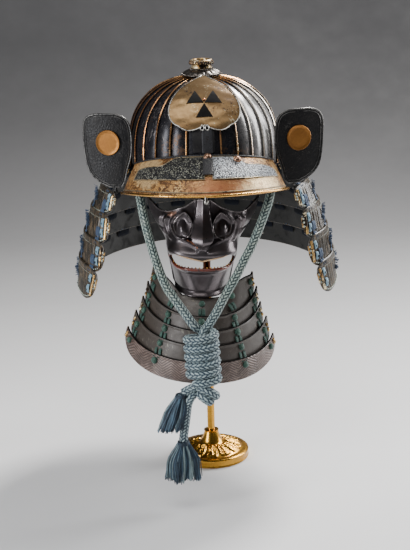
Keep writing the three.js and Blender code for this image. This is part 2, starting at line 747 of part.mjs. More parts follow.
const LEFT_STRAND = [
  [-93, -66, 433], [-91, -86, 429], [-87, -106, 416], [-82, -121, 390], [-75, -131, 362], [-67, -140, 336],
  [-56, -150, 308], [-45, -157, 292], [-33, -165, 276], [-20, -173, 259],
];
const RIGHT_STRAND = [
  [93, -66, 433], [91, -86, 427], [86, -107, 411], [78, -118, 392], [70, -125, 374], [60, -132, 354],
  [50, -138, 337], [39, -146, 318], [28, -153, 301], [19, -160, 287], [11, -166, 274], [0, -174, 259],
];
const SHORT_TAIL = [[-25.5, -198, 176], [-31.5, -198, 174.5], [-36, -198, 170]];
const LONG_TAIL = [[-22, -195, 153], [-28, -192, 143], [-33.5, -190, 130], [-36.5, -189, 116], [-38, -188, 104]];

// A rounded roll of cord between two ends, oval across.
function roll(from, to, halfWidth, halfDepth, sides, shares) {
  const rings = shares.map(([t, share]) => {
    const centre = from.map((value, i) => lerp(value, to[i], t));
    return Array.from({ length: sides }, (_, k) => {
      const turn = (2 * Math.PI * k) / sides;
      return [
        centre[0] + halfWidth * share * Math.sin(turn),
        centre[1] - halfDepth * share * Math.cos(turn),
        centre[2],
      ];
    });
  });
  return skinned(rings);
}

const ROLL_SHARES = [[0, 0.72], [0.05, 0.92], [0.14, 1], [0.86, 1], [0.95, 0.92], [1, 0.72]];
const KNOT_SHARES = [[0, 0.5], [0.12, 0.78], [0.32, 0.97], [0.55, 1], [0.78, 0.9], [0.93, 0.66], [1, 0.42]];

// Threads gathered under a head, spreading downwards in locks.
function tassel(head, tip, headRadius, tipWidth, tipDepth) {
  const sides = 21;
  const locks = 7;
  const stages = [
    { t: 0, grow: 0, lock: 0 },
    { t: 0.12, grow: 0.12, lock: 0.03 },
    { t: 0.35, grow: 0.45, lock: 0.07 },
    { t: 0.7, grow: 0.85, lock: 0.1 },
    { t: 1, grow: 1, lock: 0.14 },
  ];
  const rings = stages.map(({ t, grow, lock }) => {
    const centre = head.map((value, i) => lerp(value, tip[i], t));
    const width = lerp(headRadius, tipWidth, grow);
    const depth = lerp(headRadius, tipDepth, grow);
    return Array.from({ length: sides }, (_, k) => {
      const turn = (2 * Math.PI * k) / sides;
      const wave = 1 + lock * Math.cos(locks * turn);
      return [centre[0] + width * wave * Math.sin(turn), centre[1] - depth * wave * Math.cos(turn), centre[2]];
    });
  });
  return skinned(rings);
}

function cordRing(side) {
  const sides = 9;
  const loop = Array.from({ length: sides }, (_, i) => {
    const turn = (2 * Math.PI * i) / sides;
    return [side * (95 + 7 * Math.cos(turn)), -56 + 3 * Math.cos(turn), 431.9 + 6.4 * Math.sin(turn)];
  });
  return loopTube(loop, 1.3, 5, new THREE.Vector3(-0.4 * side, 1, 0).normalize());
}

// ---- stand --------------------------------------------------------------------------------

function standBase() {
  const rim = [[0, 0], [FOOT_RADIUS - 1, 0], [FOOT_RADIUS, 1.5], [FOOT_RADIUS, 9], [53, 11.5], [49, 13]];
  const dome = [[45, 13.4], [37, 18], [24, 23], [14, 27.5], [10, 32]];
  return latheBody([...rim, ...dome, [8.8, 41], [0, 41]], 30);
}

function standTop() {
  const radius = 32;
  const inner = (r) => {
    const share = r / (BOWL.halfWidth - WALL);
    return BOWL.base + (BOWL.height - WALL) * (1 - share ** 2) ** (1 / BOWL.power) - 1.6;
  };
  const profile = [[0, POST.top + GAP], [9, POST.top + GAP], [radius - 2, 555], [radius, inner(radius) - 2]];
  return latheBody([...profile, [radius - 1, inner(radius)], [20, inner(20)], [10, inner(10)], [0, inner(6)]], 20);
}

// A collar on the post and an arm that runs forward to the inside of the mask's nose.
function maskBracket() {
  const collarLow = 362;
  const collar = latheBody([[5.9, 0], [8.5, 0], [8.5, 10], [5.9, 10], [5.9, 0]], 12);
  collar.translate(0, 0, collarLow);
  const end = maskPoint(0, 0.19, MASK.wall + 2.5);
  const start = [0, -7, collarLow + 5];
  const length = Math.hypot(end[1] - start[1], end[2] - start[2]);
  const arm = new THREE.BoxGeometry(6, length, 3);
  arm.translate(0, -length / 2, 0);
  arm.rotateX(-Math.atan2(end[2] - start[2], start[1] - end[1]));
  arm.rotateZ(Math.atan2(MASK.x, start[1] - end[1]));
  arm.translate(...start);
  return fromSolid(toSolid(collar).add(toSolid(arm)));
}

// ---- assembly -----------------------------------------------------------------------------

function helmet() {
  const group = new THREE.Group();
  group.add(
    piece('helmet_bowl', helmetBowl(), FINISHES.darkIron),
    piece('bowl_band', bowlBand(), FINISHES.darkIron),
    piece('crown_plate', crownPlate(), FINISHES.silverEdge),
    piece('crown_ring', crownRing(), FINISHES.gilt),
    piece('visor', visorSheet(), FINISHES.leafLacquer),
    piece('visor_rim', visorRim(), FINISHES.gilt),
    piece('visor_panel_left', visorPanel(-1), FINISHES.blackLeather),
    piece('visor_panel_right', visorPanel(1), FINISHES.blackLeather),
    piece('visor_strap', visorStrap(), FINISHES.blackLeather),
    piece('front_strap', strapSheet(0, 14.5, 3 * GAP, 1.2, 482, 538), FINISHES.darkIron),
    piece('crest_bracket', strapSheet(STRAP.x, STRAP.half, 4 * GAP + 1.2, 1.2, 481, 512), FINISHES.darkIron),
    rivet('rivet_centre', [STRAP.x, -125.2, 478], [0, -0.8, 0.7], 4.6),
    rivet('rivet_right', [44, -120.6, 473.6], [0.3, -0.8, 0.7], 4.6),
    piece('crest', crestPlate(), FINISHES.tarnishedSilver),
    piece('crest_triangle_left', crestTriangle(-12.6, 41), FINISHES.blackLacquer),
    piece('crest_triangle_right', crestTriangle(12.6, 41), FINISHES.blackLacquer),
    piece('crest_triangle_lower', crestTriangle(0, 19.5), FINISHES.blackLacquer),
  );
  for (const side of [-1, 1]) {
    const word = side < 0 ? 'left' : 'right';
    group.add(
      piece(`ear_plate_${word}`, earPlate(side), FINISHES.blackLeather),
      piece(`ear_rim_${word}`, earRim(side), FINISHES.silverEdge),
      earDisc(side),
      piece(`cord_ring_${word}`, cordRing(side), FINISHES.darkIron),
    );
  }
  for (const number of [1, 2, 3, 4, 5]) {
    group.add(piece(`neck_lame_${number}`, neckLame(number), FINISHES.blackLacquer));
  }
  return group;
}

// A group that leans sideways about a point on its own middle line.
function leaning(meshes, x, z, degrees) {
  const group = new THREE.Group();
  for (const mesh of meshes) {
    mesh.position.z -= z;
    group.add(mesh);
  }
  group.position.set(x, 0, z);
  group.rotation.y = radians(degrees);
  return group;
}

function throatGuard() {
  const lames = [1, 2, 3, 4, 5].map((number) =>
    piece(`throat_lame_${number}`, throatLame(number), FINISHES.brownLacquer),
  );
  return leaning(lames, THROAT.x, THROAT.z, THROAT.roll);
}

function chinCord() {
  const group = new THREE.Group();
  group.add(
    piece('chin_cord_left', tube(LEFT_STRAND, CORD_RADIUS, 8, 10), FINISHES.silkCord),
    piece('chin_cord_right', tube(RIGHT_STRAND, CORD_RADIUS, 8, 10), FINISHES.silkCord),
    piece('knot_wrap', roll([-11, -183, 252], [-8, -195, 186], 25, 20, 12, ROLL_SHARES), FINISHES.silkCord),
    piece('knot_lower', roll([-6.5, -197, 184.5], [-6.5, -197, 158], 16, 14, 12, KNOT_SHARES), FINISHES.silkCord),
    piece('cord_tail_short', tube(SHORT_TAIL, CORD_RADIUS, 8, 2), FINISHES.silkCord),
    piece('cord_tail_long', tube(LONG_TAIL, CORD_RADIUS, 8, 4), FINISHES.silkCord),
    piece('tassel_short', tassel([-40, -198, 164.5], [-58, -200, 115], 7, 13.5, 9.5), FINISHES.silkThread),
    piece('tassel_long', tassel([-38.4, -188, 101], [-41.7, -189, 40], 7, 22, 13), FINISHES.silkThread),
  );
  return group;
}

function stand() {
  const group = new THREE.Group();
  const post = new THREE.CylinderGeometry(POST.radius, POST.radius, POST.top - POST.foot, 16);
  post.rotateX(Math.PI / 2);
  post.translate(0, 0, (POST.top + POST.foot) / 2);
  group.add(
    piece('stand_base', standBase(), FINISHES.brass),
    piece('stand_post', welded(post), FINISHES.brass),
    piece('stand_top', standTop(), FINISHES.brass),
    piece('mask_bracket', maskBracket(), FINISHES.brass),
  );
  return group;
}

const kabuto = new THREE.Group();
kabuto.add(
  helmet(),
  leaning([piece('face_mask', faceMask(), FINISHES.maskIron)], MASK.x, MASK.z, MASK.roll),
  throatGuard(),
  chinCord(),
  stand(),
);

export default kabuto;
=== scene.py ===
import math

import bpy
import numpy as np
from bpy.props import FloatProperty, FloatVectorProperty, PointerProperty
from mathutils import Matrix, Vector


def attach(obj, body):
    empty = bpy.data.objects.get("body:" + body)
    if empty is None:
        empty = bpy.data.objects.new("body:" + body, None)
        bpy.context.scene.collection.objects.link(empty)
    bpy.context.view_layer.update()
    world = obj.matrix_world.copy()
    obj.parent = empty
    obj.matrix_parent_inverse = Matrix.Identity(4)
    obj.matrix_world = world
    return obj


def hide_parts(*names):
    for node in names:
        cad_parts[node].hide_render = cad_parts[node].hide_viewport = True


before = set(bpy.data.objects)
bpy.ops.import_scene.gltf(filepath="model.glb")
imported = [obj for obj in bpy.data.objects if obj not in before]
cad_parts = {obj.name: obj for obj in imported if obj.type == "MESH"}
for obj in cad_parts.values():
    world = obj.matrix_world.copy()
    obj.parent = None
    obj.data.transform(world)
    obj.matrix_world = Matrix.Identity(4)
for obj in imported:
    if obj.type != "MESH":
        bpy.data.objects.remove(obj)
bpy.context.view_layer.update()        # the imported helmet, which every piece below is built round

bl_info = {
    "name": "Kabuto",
    "version": (1, 0, 0),
    "blender": (4, 5, 0),
    "location": "View3D > Sidebar > Kabuto",
    "description": "A laced samurai helmet with its mask, throat guard and chin cord on a brass stand",
    "category": "Object",
}

MM = 0.001
BODY = "root"
SIDES = ((-1, "left"), (1, "right"))


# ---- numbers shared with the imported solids, in millimetres ---------------------------------


def table(names, *rows):
    return {name: np.array(column, float) for name, column in zip(names.split(), zip(*rows))}


BOWL = {"foot": 446, "base": 453, "height": 116, "half_width": 103, "half_depth": 117, "power": 3.1}
RIBS = {"count": 28, "height": 3, "reach": 110.0, "end_share": 0.20}
CROWN_HOLE = 10
WALL = 2.2

VISOR = {"centre_joint": 478, "end_joint": 458, "centre_edge": 434.5, "end_edge": 419, "thick": 2.4}
VISOR_ARC = {"joint": 62, "edge": 81, "half_width": 114, "half_depth": 128, "centre": -40}
STRAP = {"x": 5, "half": 7}

CREST = {"foot": (-117, 511), "bend": (-99, 558), "tip": (-42, 575), "thick": 2, "length": 97,
         "narrow": 0.965, "aside": 2.2, "leaf": 24.0}
CREST_HALF = table(
    "s half",
    (0, 34), (0.07, 42), (0.16, 47.5), (0.28, 50), (0.42, 48.5),
    (0.57, 43), (0.72, 33), (0.86, 18), (0.95, 6.5), (1, 2.5),
)

EAR = {"x": 131.5, "y": -45, "z": 486, "sweep": 0.3, "thick": 2.5, "disc": 17.5}
EAR_ROWS = table(
    "rise inner outer",
    (-61, 16, 0), (-57, 18.5, -9), (-50, 21, -19), (-38, 24, -27.5), (-18, 30, -31.5),
    (4, 31.5, -33), (20, 30, -33), (29.5, 26.5, -30.5), (35, 20.5, -25), (37.8, 13, -16),
)

NECK_EDGES = table(
    "half back end end_x end_y",
    (111.5, 449, 449, 104.8, -45.5), (143.0, 417, 422, 119.0, -41.4),
    (146.8, 424, 419, 123.0, -62.0), (160.0, 385, 388, 130.0, -65.0),
    (163.0, 392, 388, 133.0, -65.5), (172.0, 353, 344, 138.5, -66.0),
    (174.7, 360, 348, 141.5, -66.5), (180.5, 321, 302, 148.0, -66.0),
    (183.6, 328, 307, 152.5, -65.0), (187.0, 289, 261, 165.0, -60.0),
)
BACK_EXTRA = 14.2

MASK = {"x": -3.6, "z": 400, "roll": 2.2, "back_line": -20, "wall": 3}
MASK_LEVELS = table(
    "z half depth square",
    (280, 40, 108, 2.4), (300, 41.5, 109, 2.5), (318, 45, 108, 2.8), (338, 50, 109, 3.0),
    (352, 53, 104, 2.8), (370, 66, 93, 2.4), (386, 75, 86, 2.2), (402, 79, 84, 2.2),
    (425, 80, 85, 2.2),
)
NOSE_LEVELS = table(
    "z out half",
    (344, 0, 4), (352, 6, 5), (357, 20, 7), (362, 29, 10), (368, 32, 11.5),
    (375, 29, 11.2), (387, 22, 9.5), (401, 16, 8), (416, 13, 7), (430, 11, 7),
)
MASK_EDGES = table(
    "turn top bottom",
    (0, 417, 286), (16, 404, 286), (32, 396, 286.5), (48, 396, 287.5),
    (62, 402, 290), (76, 405, 300), (90, 403, 335),
)
NOSTRIL = {"x": 26.5, "z": 381, "wide": 13, "tall": 17, "lean": 1.5, "narrow": 0.42}
MOUTH = {"half": 44.5, "corner": 336.5, "top": 335.5, "rise": 8, "bottom": 322.5, "wing": 34}

THROAT = {"x": -9, "z": 310, "roll": 4.5, "back_line": -30, "end": 36,
          "shift": (3.5, 5.0), "grow": (1.0, 1.04), "climb": 14}
THROAT_EDGES = table(
    "depth half middle corner",
    (97, 69.5, 283, 307), (117, 73.0, 257, 279), (119, 76.0, 263, 286), (125, 78.5, 238, 257),
    (127, 81.5, 245, 264), (131, 86.5, 219, 234), (133, 90.0, 226, 243), (137, 96.0, 197, 212),
    (139, 99.5, 204, 218), (141, 104.0, 176, 200),
)

LEFT_STRAND = [
    (-93, -66, 433), (-91, -86, 429), (-87, -106, 416), (-82, -121, 390), (-75, -131, 362),
    (-67, -140, 336), (-56, -150, 308), (-45, -157, 292), (-33, -165, 276), (-20, -173, 259),
]
RIGHT_STRAND = [
    (93, -66, 433), (91, -86, 427), (86, -107, 411), (78, -118, 392), (70, -125, 374),
    (60, -132, 354), (50, -138, 337), (39, -146, 318), (28, -153, 301), (19, -160, 287),
    (11, -166, 274), (0, -174, 259),
]
KNOT = {"top": (-11, -184, 251.5), "bottom": (-8, -195, 188), "turns": 5.6, "wide": 18.5, "deep": 13.5}
SHORT_TAIL = [(-24.5, -201, 180.5), (-31, -199.5, 176.5), (-36.5, -198.5, 173)]
LONG_TAIL = [
    (-20.5, -199, 172), (-27, -199.5, 165.5), (-31, -197, 155), (-32.8, -194, 142), (-34.8, -191, 127),
    (-37.2, -189, 112), (-38.4, -188, 101),
]

POST = {"radius": 5.5, "foot": 41.4, "top": 547}


# ---- shapes as points and faces, in millimetres --------------------------------------------


def eased(rows, key, at, name):
    """A value between a table's rows, eased through the rows on both sides of the key."""
    keys, values = rows[key], rows[name]
    at = np.asarray(at, float)
    i = np.clip(np.searchsorted(keys, at, side="left") - 1, 0, len(keys) - 2)
    slopes = np.zeros(len(keys))
    slopes[1:-1] = (values[2:] - values[:-2]) / (keys[2:] - keys[:-2])
    span = keys[i + 1] - keys[i]
    t = np.clip((at - keys[i]) / span, 0, 1)
    return (
        values[i] * (2 * t**3 - 3 * t**2 + 1) + span * slopes[i] * (t**3 - 2 * t**2 + t)
        + values[i + 1] * (3 * t**2 - 2 * t**3) + span * slopes[i + 1] * (t**3 - t**2)
    )


def step(x, low, high):
    t = np.clip((x - low) / (high - low), 0, 1)
    return t * t * (3 - 2 * t)


def bump(distance):
    return np.exp(-(distance**2))


def lerp(a, b, t):
    return a + (b - a) * t


def stacked(x, y, z):
    return np.stack(np.broadcast_arrays(x, y, z), -1).astype(float)


def full_turn(count):
    """Even angles once round."""
    return np.arange(count) * 2 * math.pi / count


def ring_at(radius, turn, height, deep=None):
    """Points round the Z axis from the front, on a circle or on an oval with its own depth."""
    return stacked(radius * np.sin(turn), -(radius if deep is None else deep) * np.cos(turn), height)


def distance_along(path):
    """How far along a path each of its points lies."""
    return np.concatenate([[0], np.cumsum(np.linalg.norm(np.diff(path, axis=0), axis=1))])


def sheet_faces(columns, rows, around=False, joined=False):
    across = columns if around else columns - 1
    along = rows if joined else rows - 1
    i, j = np.meshgrid(np.arange(across), np.arange(along))
    k, m = (i + 1) % columns, (j + 1) % rows
    quads = np.stack([j * columns + i, j * columns + k, m * columns + k, m * columns + i], -1)
    return quads.reshape(-1, 4)


class Shape:
    """Points, faces, and for each face which of the piece's materials it takes."""

    def __init__(self, points, faces, kinds=None):
        self.points = np.asarray(points, float).reshape(-1, 3)
        self.faces = [list(map(int, face)) for face in faces]
        self.kinds = [0] * len(self.faces) if kinds is None else list(kinds)

    def outward(self):
        """Turns every face round if the closed shape is inside out."""
        volume = 0.0
        p = self.points
        for face in self.faces:
            a = p[face[0]]
            for i in range(1, len(face) - 1):
                volume += a @ np.cross(p[face[i]], p[face[i + 1]])
        if volume < 0:
            self.faces = [face[::-1] for face in self.faces]
        return self

    def moved(self, matrix):
        m = np.array(matrix)
        self.points = self.points @ m[:3, :3].T + m[:3, 3]
        return self


def wall(front, back, us, vs):
    """A closed plate between two surfaces over one grid: kinds are 0 front, 1 back and 2 edge."""
    u, v = np.meshgrid(us, vs)
    points = np.concatenate([front(u, v).reshape(-1, 3), back(u, v).reshape(-1, 3)])
    columns, rows = len(us), len(vs)
    face = sheet_faces(columns, rows)
    layer = columns * rows
    at = np.arange(layer).reshape(rows, columns)
    border = np.concatenate([at[0, :-1], at[:-1, -1], at[-1, :0:-1], at[:0:-1, 0]])
    onward = np.roll(border, -1)
    edge = np.stack([onward, border, border + layer, onward + layer], -1)
    kinds = [0] * len(face) + [1] * len(face) + [2] * len(edge)
    return Shape(points, np.concatenate([face, face[:, ::-1] + layer, edge]), kinds).outward()


def skin(rings, joined=False):
    """A body over closed rings of points, capped at both ends or running back into itself."""
    rings = np.asarray(rings, float)
    rows, columns = rings.shape[:2]
    faces = [list(q) for q in sheet_faces(columns, rows, around=True, joined=joined)]
    if not joined:
        faces.append(list(range(columns))[::-1])
        faces.append(list(range((rows - 1) * columns, rows * columns)))
    return Shape(rings.reshape(-1, 3), faces).outward()


def lathe(profile, sides, lift=None, joined=False):
    """A body turned round Z from (radius, height) points, which lift may raise round the turn."""
    turn = full_turn(sides)
    return skin([
        ring_at(radius, turn, height + (lift(radius, height, turn) if lift else 0))
        for radius, height in profile
    ], joined)


def frames_along(path, closed=False):
    """Tangent, side and up at each point of a path, with no twist between them."""
    path = np.asarray(path, float)
    if closed:
        tangents = np.roll(path, -1, 0) - np.roll(path, 1, 0)
    else:
        tangents = np.gradient(path, axis=0)
    tangents /= np.linalg.norm(tangents, axis=1)[:, None]
    start = np.array([0, 0, 1.0]) if abs(tangents[0][2]) < 0.9 else np.array([1.0, 0, 0])
    side = np.cross(tangents[0], start)
    sides = []
    for tangent in tangents:
        side = side - tangent * (side @ tangent)
        side = side / np.linalg.norm(side)
        sides.append(side)
    sides = np.array(sides)
    return tangents, sides, np.cross(tangents, sides)


def tube(path, radius, sides=8, closed=False, flat=1.0):
    """A round rod along a path; radius may change along it, and flat squeezes it one way."""
    path = np.asarray(path, float)
    radius = np.broadcast_to(np.asarray(radius, float), len(path))
    _, across, up = frames_along(path, closed)
    turn = full_turn(sides)
    rings = (
        path[:, None]
        + radius[:, None, None] * np.cos(turn)[None, :, None] * across[:, None]
        + flat * radius[:, None, None] * np.sin(turn)[None, :, None] * up[:, None]
    )
    return skin(rings, joined=closed)


def ball(radius, sides=8, rings=5, stretch=(1, 1, 1)):
    """A closed ball with flattened poles, stretched along its axes."""
    heights = np.linspace(-0.95, 0.95, rings)
    profile = [(radius * math.sqrt(1 - h * h), radius * h) for h in heights]
    shape = lathe(profile, sides)
    shape.points = shape.points * np.array(stretch)
    return shape


def smooth_path(points, spacing):
    """Points close together on one smooth curve through a short list."""
    points = np.asarray(points, float)
    padded = np.vstack([2 * points[0] - points[1], points, 2 * points[-1] - points[-2]])
    fine = []
    for a, b, c, d in zip(padded, padded[1:], padded[2:], padded[3:]):
        t = np.linspace(0, 1, 24, endpoint=False)[:, None]
        fine.append(0.5 * (2 * b + (c - a) * t + (2 * a - 5 * b + 4 * c - d) * t**2
                           + (3 * b - a - 3 * c + d) * t**3))
    return evenly(np.vstack([*fine, points[-1:]]), spacing)


def evenly(path, spacing):
    reach = distance_along(path)
    count = max(2, round(reach[-1] / spacing) + 1)
    at = np.linspace(0, reach[-1], count)
    return np.stack([np.interp(at, reach, path[:, k]) for k in range(3)], -1)


def path_length(path):
    return float(np.linalg.norm(np.diff(path, axis=0), axis=1).sum())


def leaned(points, group):
    """Points of a piece that leans sideways about a point on its own middle line."""
    x, y, z = np.moveaxis(np.asarray(points, float), -1, 0)
    a = math.radians(group["roll"])
    rise = z - group["z"]
    return stacked(
        group["x"] + x * math.cos(a) + rise * math.sin(a), y,
        group["z"] - x * math.sin(a) + rise * math.cos(a),
    )


# ---- pieces ----------------------------------------------------------------------------------


def put(name, data):
    """A new object that stands in the scene."""
    made = bpy.data.objects.new(name, data)
    bpy.context.scene.collection.objects.link(made)
    return made


def dress(mesh, materials, slots, smooth, sharp):
    """Gives a mesh its finishes and its smooth faces and sharp edges."""
    mesh.polygons.foreach_set("material_index", slots)
    mesh.polygons.foreach_set("use_smooth", smooth)
    mesh.set_sharp_from_angle(angle=math.radians(sharp))
    for material in materials:
        mesh.materials.append(material)
    return mesh


def make(name, parts, sharp=35):
    """One mesh piece from (shape, finish or finishes) pairs, smooth but for sharp edges."""
    points, faces, slots, names = [], [], [], []
    start = 0
    for shape, chosen in parts:
        chosen = (chosen,) if isinstance(chosen, str) else chosen
        names = list(dict.fromkeys([*names, *chosen]))
        points.append(shape.points)
        faces += [[start + i for i in face] for face in shape.faces]
        slots += [names.index(chosen[min(kind, len(chosen) - 1)]) for kind in shape.kinds]
        start += len(shape.points)
    mesh = bpy.data.meshes.new(name)
    mesh.from_pydata((np.concatenate(points) * MM).tolist(), [], faces)
    return put(name, dress(mesh, [paint(word) for word in names], slots, [True] * len(faces), sharp))


def set_at(shape, place, out):
    """Moves a part to a place, with its top turned outwards."""
    facing = Vector(out).to_track_quat("Z", "Y").to_matrix().to_4x4()
    return shape.moved(Matrix.Translation(Vector(place)) @ facing)


def fit(piece, slot, *nodes):
    """Ties a finished piece to the helmet's one body and hides the solids it stands for; its finish slot is
    not used.
    """
    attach(piece, BODY)
    if nodes:
        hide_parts(*nodes)
    return piece


def plain_mesh(piece):
    """Turns what the piece's modifiers make into its own mesh."""
    shown = piece.evaluated_get(bpy.context.evaluated_depsgraph_get())
    mesh = bpy.data.meshes.new_from_object(shown)
    piece.modifiers.clear()
    piece.data = mesh
    return piece


def node_tree(name, **inputs):
    """A geometry tree with a geometry in and out and the named inputs, ready to fill."""
    tree = bpy.data.node_groups.new(name, "GeometryNodeTree")
    for label, kind in {"Geometry": "Geometry", **inputs}.items():
        tree.interface.new_socket(label.replace("_", " "), in_out="INPUT", socket_type="NodeSocket" + kind)
    tree.interface.new_socket("Geometry", in_out="OUTPUT", socket_type="NodeSocketGeometry")
    brush = Paint(tree)
    return brush, brush.add("NodeGroupInput").outputs


def end_tree(brush, geometry, material):
    """Ends a geometry tree in real geometry with its finish on."""
    real = brush.add("GeometryNodeRealizeInstances", {0: geometry}).outputs[0]
    done = brush.add("GeometryNodeSetMaterial", {"Geometry": real, "Material": material}).outputs[0]
    return give(brush, Geometry=done)


def run_tree(piece, tree, values):
    """Puts the tree on the piece, sets its inputs by their identifiers and keeps the result."""
    modifier = piece.modifiers.new(tree.name, "NODES")
    modifier.node_group = tree
    for item in tree.interface.items_tree:
        if item.in_out == "INPUT" and item.name in values:
            modifier[item.identifier] = values[item.name]
    return plain_mesh(piece)


class Paint:
    """Adds nodes to a tree and links them as they are made."""

    def __init__(self, tree):
        self.tree = tree

    def add(self, kind, inputs=None, **settings):
        made = self.tree.nodes.new(kind)
        for name, value in settings.items():
            setattr(made, name, value)
        for name, value in (inputs or {}).items():
            if isinstance(value, bpy.types.NodeSocket):
                self.tree.links.new(value, made.inputs[name])
            else:
                made.inputs[name].default_value = value
        return made

    def sum(self, operation, a, b=0.0, c=0.0):
        return self.add("ShaderNodeMath", {0: a, 1: b, 2: c}, operation=operation).outputs[0]

    def times(self, a, b):
        return self.sum("MULTIPLY", a, b)

    def axes(self, vector):
        return self.add("ShaderNodeSeparateXYZ", {0: vector}).outputs

    def noise(self, vector, scale, detail=3.0, roughness=0.5, distortion=0.0):
        inputs = {"Vector": vector, "Scale": scale, "Detail": detail,
                  "Roughness": roughness, "Distortion": distortion}
        return self.add("ShaderNodeTexNoise", inputs).outputs[0]

    def cells(self, vector, scale, feature="F1", jitter=1.0):
        inputs = {"Vector": vector, "Scale": scale, "Randomness": jitter}
        return self.add("ShaderNodeTexVoronoi", inputs, feature=feature).outputs["Distance"]

    def stretch(self, vector, scale):
        return self.add("ShaderNodeMapping", {"Vector": vector, "Scale": scale}).outputs[0]

    def remap(self, value, low, high, to_low=0.0, to_high=1.0):
        inputs = {"Value": value, "From Min": low, "From Max": high, "To Min": to_low, "To Max": to_high}
        return self.add("ShaderNodeMapRange", inputs).outputs[0]

    def blend(self, factor, a, b, mode="MIX"):
        made = self.add("ShaderNodeMix", {0: factor, 6: a, 7: b}, data_type="RGBA", blend_type=mode)
        return made.outputs[2]

    def tint(self, tone, colour, mask, share=None):
        """Lays a colour over the tone by a mask, or by a share of it."""
        return self.blend(mask if share is None else self.times(mask, share), tone, colour4(colour))

    def darken(self, tone, value, low):
        """Multiplies the tone by a grey that climbs with the value from low to white."""
        grey = self.blend(value, (low, low, low, 1), (1, 1, 1, 1))
        return self.blend(1.0, tone, grey, "MULTIPLY")

    def ramp(self, value, *stops):
        made = self.add("ShaderNodeValToRGB", {0: value})
        band = made.color_ramp
        while len(band.elements) < len(stops):
            band.elements.new(0.5)
        for element, (place, colour) in zip(band.elements, stops):
            element.position = place
            element.color = colour
        return made.outputs[0]

    def relief(self, height, strength, distance=MM, normal=None):
        inputs = {"Height": height, "Strength": strength, "Distance": distance}
        if normal is not None:
            inputs["Normal"] = normal
        return self.add("ShaderNodeBump", inputs).outputs[0]

    def use(self, group, inputs):
        return self.add("ShaderNodeGroup", inputs, node_tree=group).outputs


# ---- shared effects of the finishes ----------------------------------------------------------


def shared(name):
    """Builds a tree when it is first asked for, and hands out the same one after that."""
    def wrap(build):
        return lambda: bpy.data.node_groups.get(name) or build(name)
    return wrap


def effect(name, outputs, **numbers):
    """A shader group with a vector and named numbers in and named values out, ready to fill."""
    tree = bpy.data.node_groups.new(name, "ShaderNodeTree")
    tree.interface.new_socket("Vector", in_out="INPUT", socket_type="NodeSocketVector")
    for label, value in numbers.items():
        socket = tree.interface.new_socket(label, in_out="INPUT", socket_type="NodeSocketFloat")
        socket.default_value = value
    for label in outputs:
        tree.interface.new_socket(label, in_out="OUTPUT", socket_type="NodeSocketFloat")
    brush = Paint(tree)
    return brush, brush.add("NodeGroupInput").outputs


def give(brush, **values):
    """Links the values to a tree's outputs and hands back the tree."""
    end = brush.add("NodeGroupOutput")
    for label, socket in values.items():
        brush.tree.links.new(socket, end.inputs[label])
    return brush.tree


@shared("clouding")
def clouding(name):
    """Soft uneven toning, coarse and fine together."""
    brush, given = effect(name, ["Mask"], Scale=60)
    coarse = brush.noise(given["Vector"], given["Scale"], 4, 0.6, 0.4)
    fine_scale = brush.times(given["Scale"], 7)
    fine = brush.noise(given["Vector"], fine_scale, 3, 0.6)
    mixed = brush.sum("MULTIPLY_ADD", fine, 0.35, brush.times(coarse, 0.65))
    return give(brush, Mask=brush.remap(mixed, 0.36, 0.64))


@shared("speckle")
def speckle(name):
    """Irregular spots where a finish has flaked, tarnished or caught the light."""
    brush, given = effect(name, ["Mask"], Scale=400, Amount=0.3)
    spots = brush.noise(given["Vector"], given["Scale"], 5, 0.65, 0.8)
    drift = brush.noise(given["Vector"], brush.times(given["Scale"], 0.12), 2, 0.5)
    level = brush.sum("MULTIPLY_ADD", drift, 0.5, brush.times(spots, 0.75))
    start = brush.sum("MULTIPLY_ADD", given["Amount"], -0.35, 0.78)
    end = brush.sum("ADD", start, 0.05)
    return give(brush, Mask=brush.remap(level, start, end))


@shared("scratching")
def scratching(name):
    """Fine scratches that run one way across the surface."""
    brush, given = effect(name, ["Mask"], Scale=120, Turn=0.6, Amount=0.3)
    turned = brush.add(
        "ShaderNodeVectorRotate", {"Vector": given["Vector"], "Angle": given["Turn"]},
        rotation_type="Y_AXIS",
    ).outputs[0]
    long = brush.stretch(turned, (1, 1, 0.06))
    lines = brush.noise(long, brush.times(given["Scale"], 6), 4, 0.6)
    patch = brush.noise(given["Vector"], brush.times(given["Scale"], 0.3), 3, 0.6)
    level = brush.sum("MULTIPLY_ADD", patch, 0.45, brush.times(lines, 0.7))
    start = brush.sum("MULTIPLY_ADD", given["Amount"], -0.3, 0.72)
    end = brush.sum("ADD", start, 0.04)
    return give(brush, Mask=brush.remap(level, start, end))


@shared("pebbling")
def pebbling(name):
    """The raised pebbles of grained leather and crackled lacquer."""
    brush, given = effect(name, ["Height", "Grooves"], Scale=500)
    coarse = brush.times(given["Scale"], 0.5)
    bent = brush.add("ShaderNodeTexNoise", {"Vector": given["Vector"], "Scale": coarse}).outputs["Color"]
    moved = brush.add(
        "ShaderNodeVectorMath", {0: bent, 1: (0.0011, 0.0011, 0.0011), 2: given["Vector"]},
        operation="MULTIPLY_ADD",
    ).outputs[0]
    edge = brush.cells(moved, given["Scale"], "DISTANCE_TO_EDGE")
    return give(brush, Height=brush.remap(edge, 0.0, 0.35), Grooves=brush.remap(edge, 0.02, 0.12, 1.0, 0.0))


# ---- finishes --------------------------------------------------------------------------------


def colour4(rgb):
    return (*rgb[:3], 1.0)


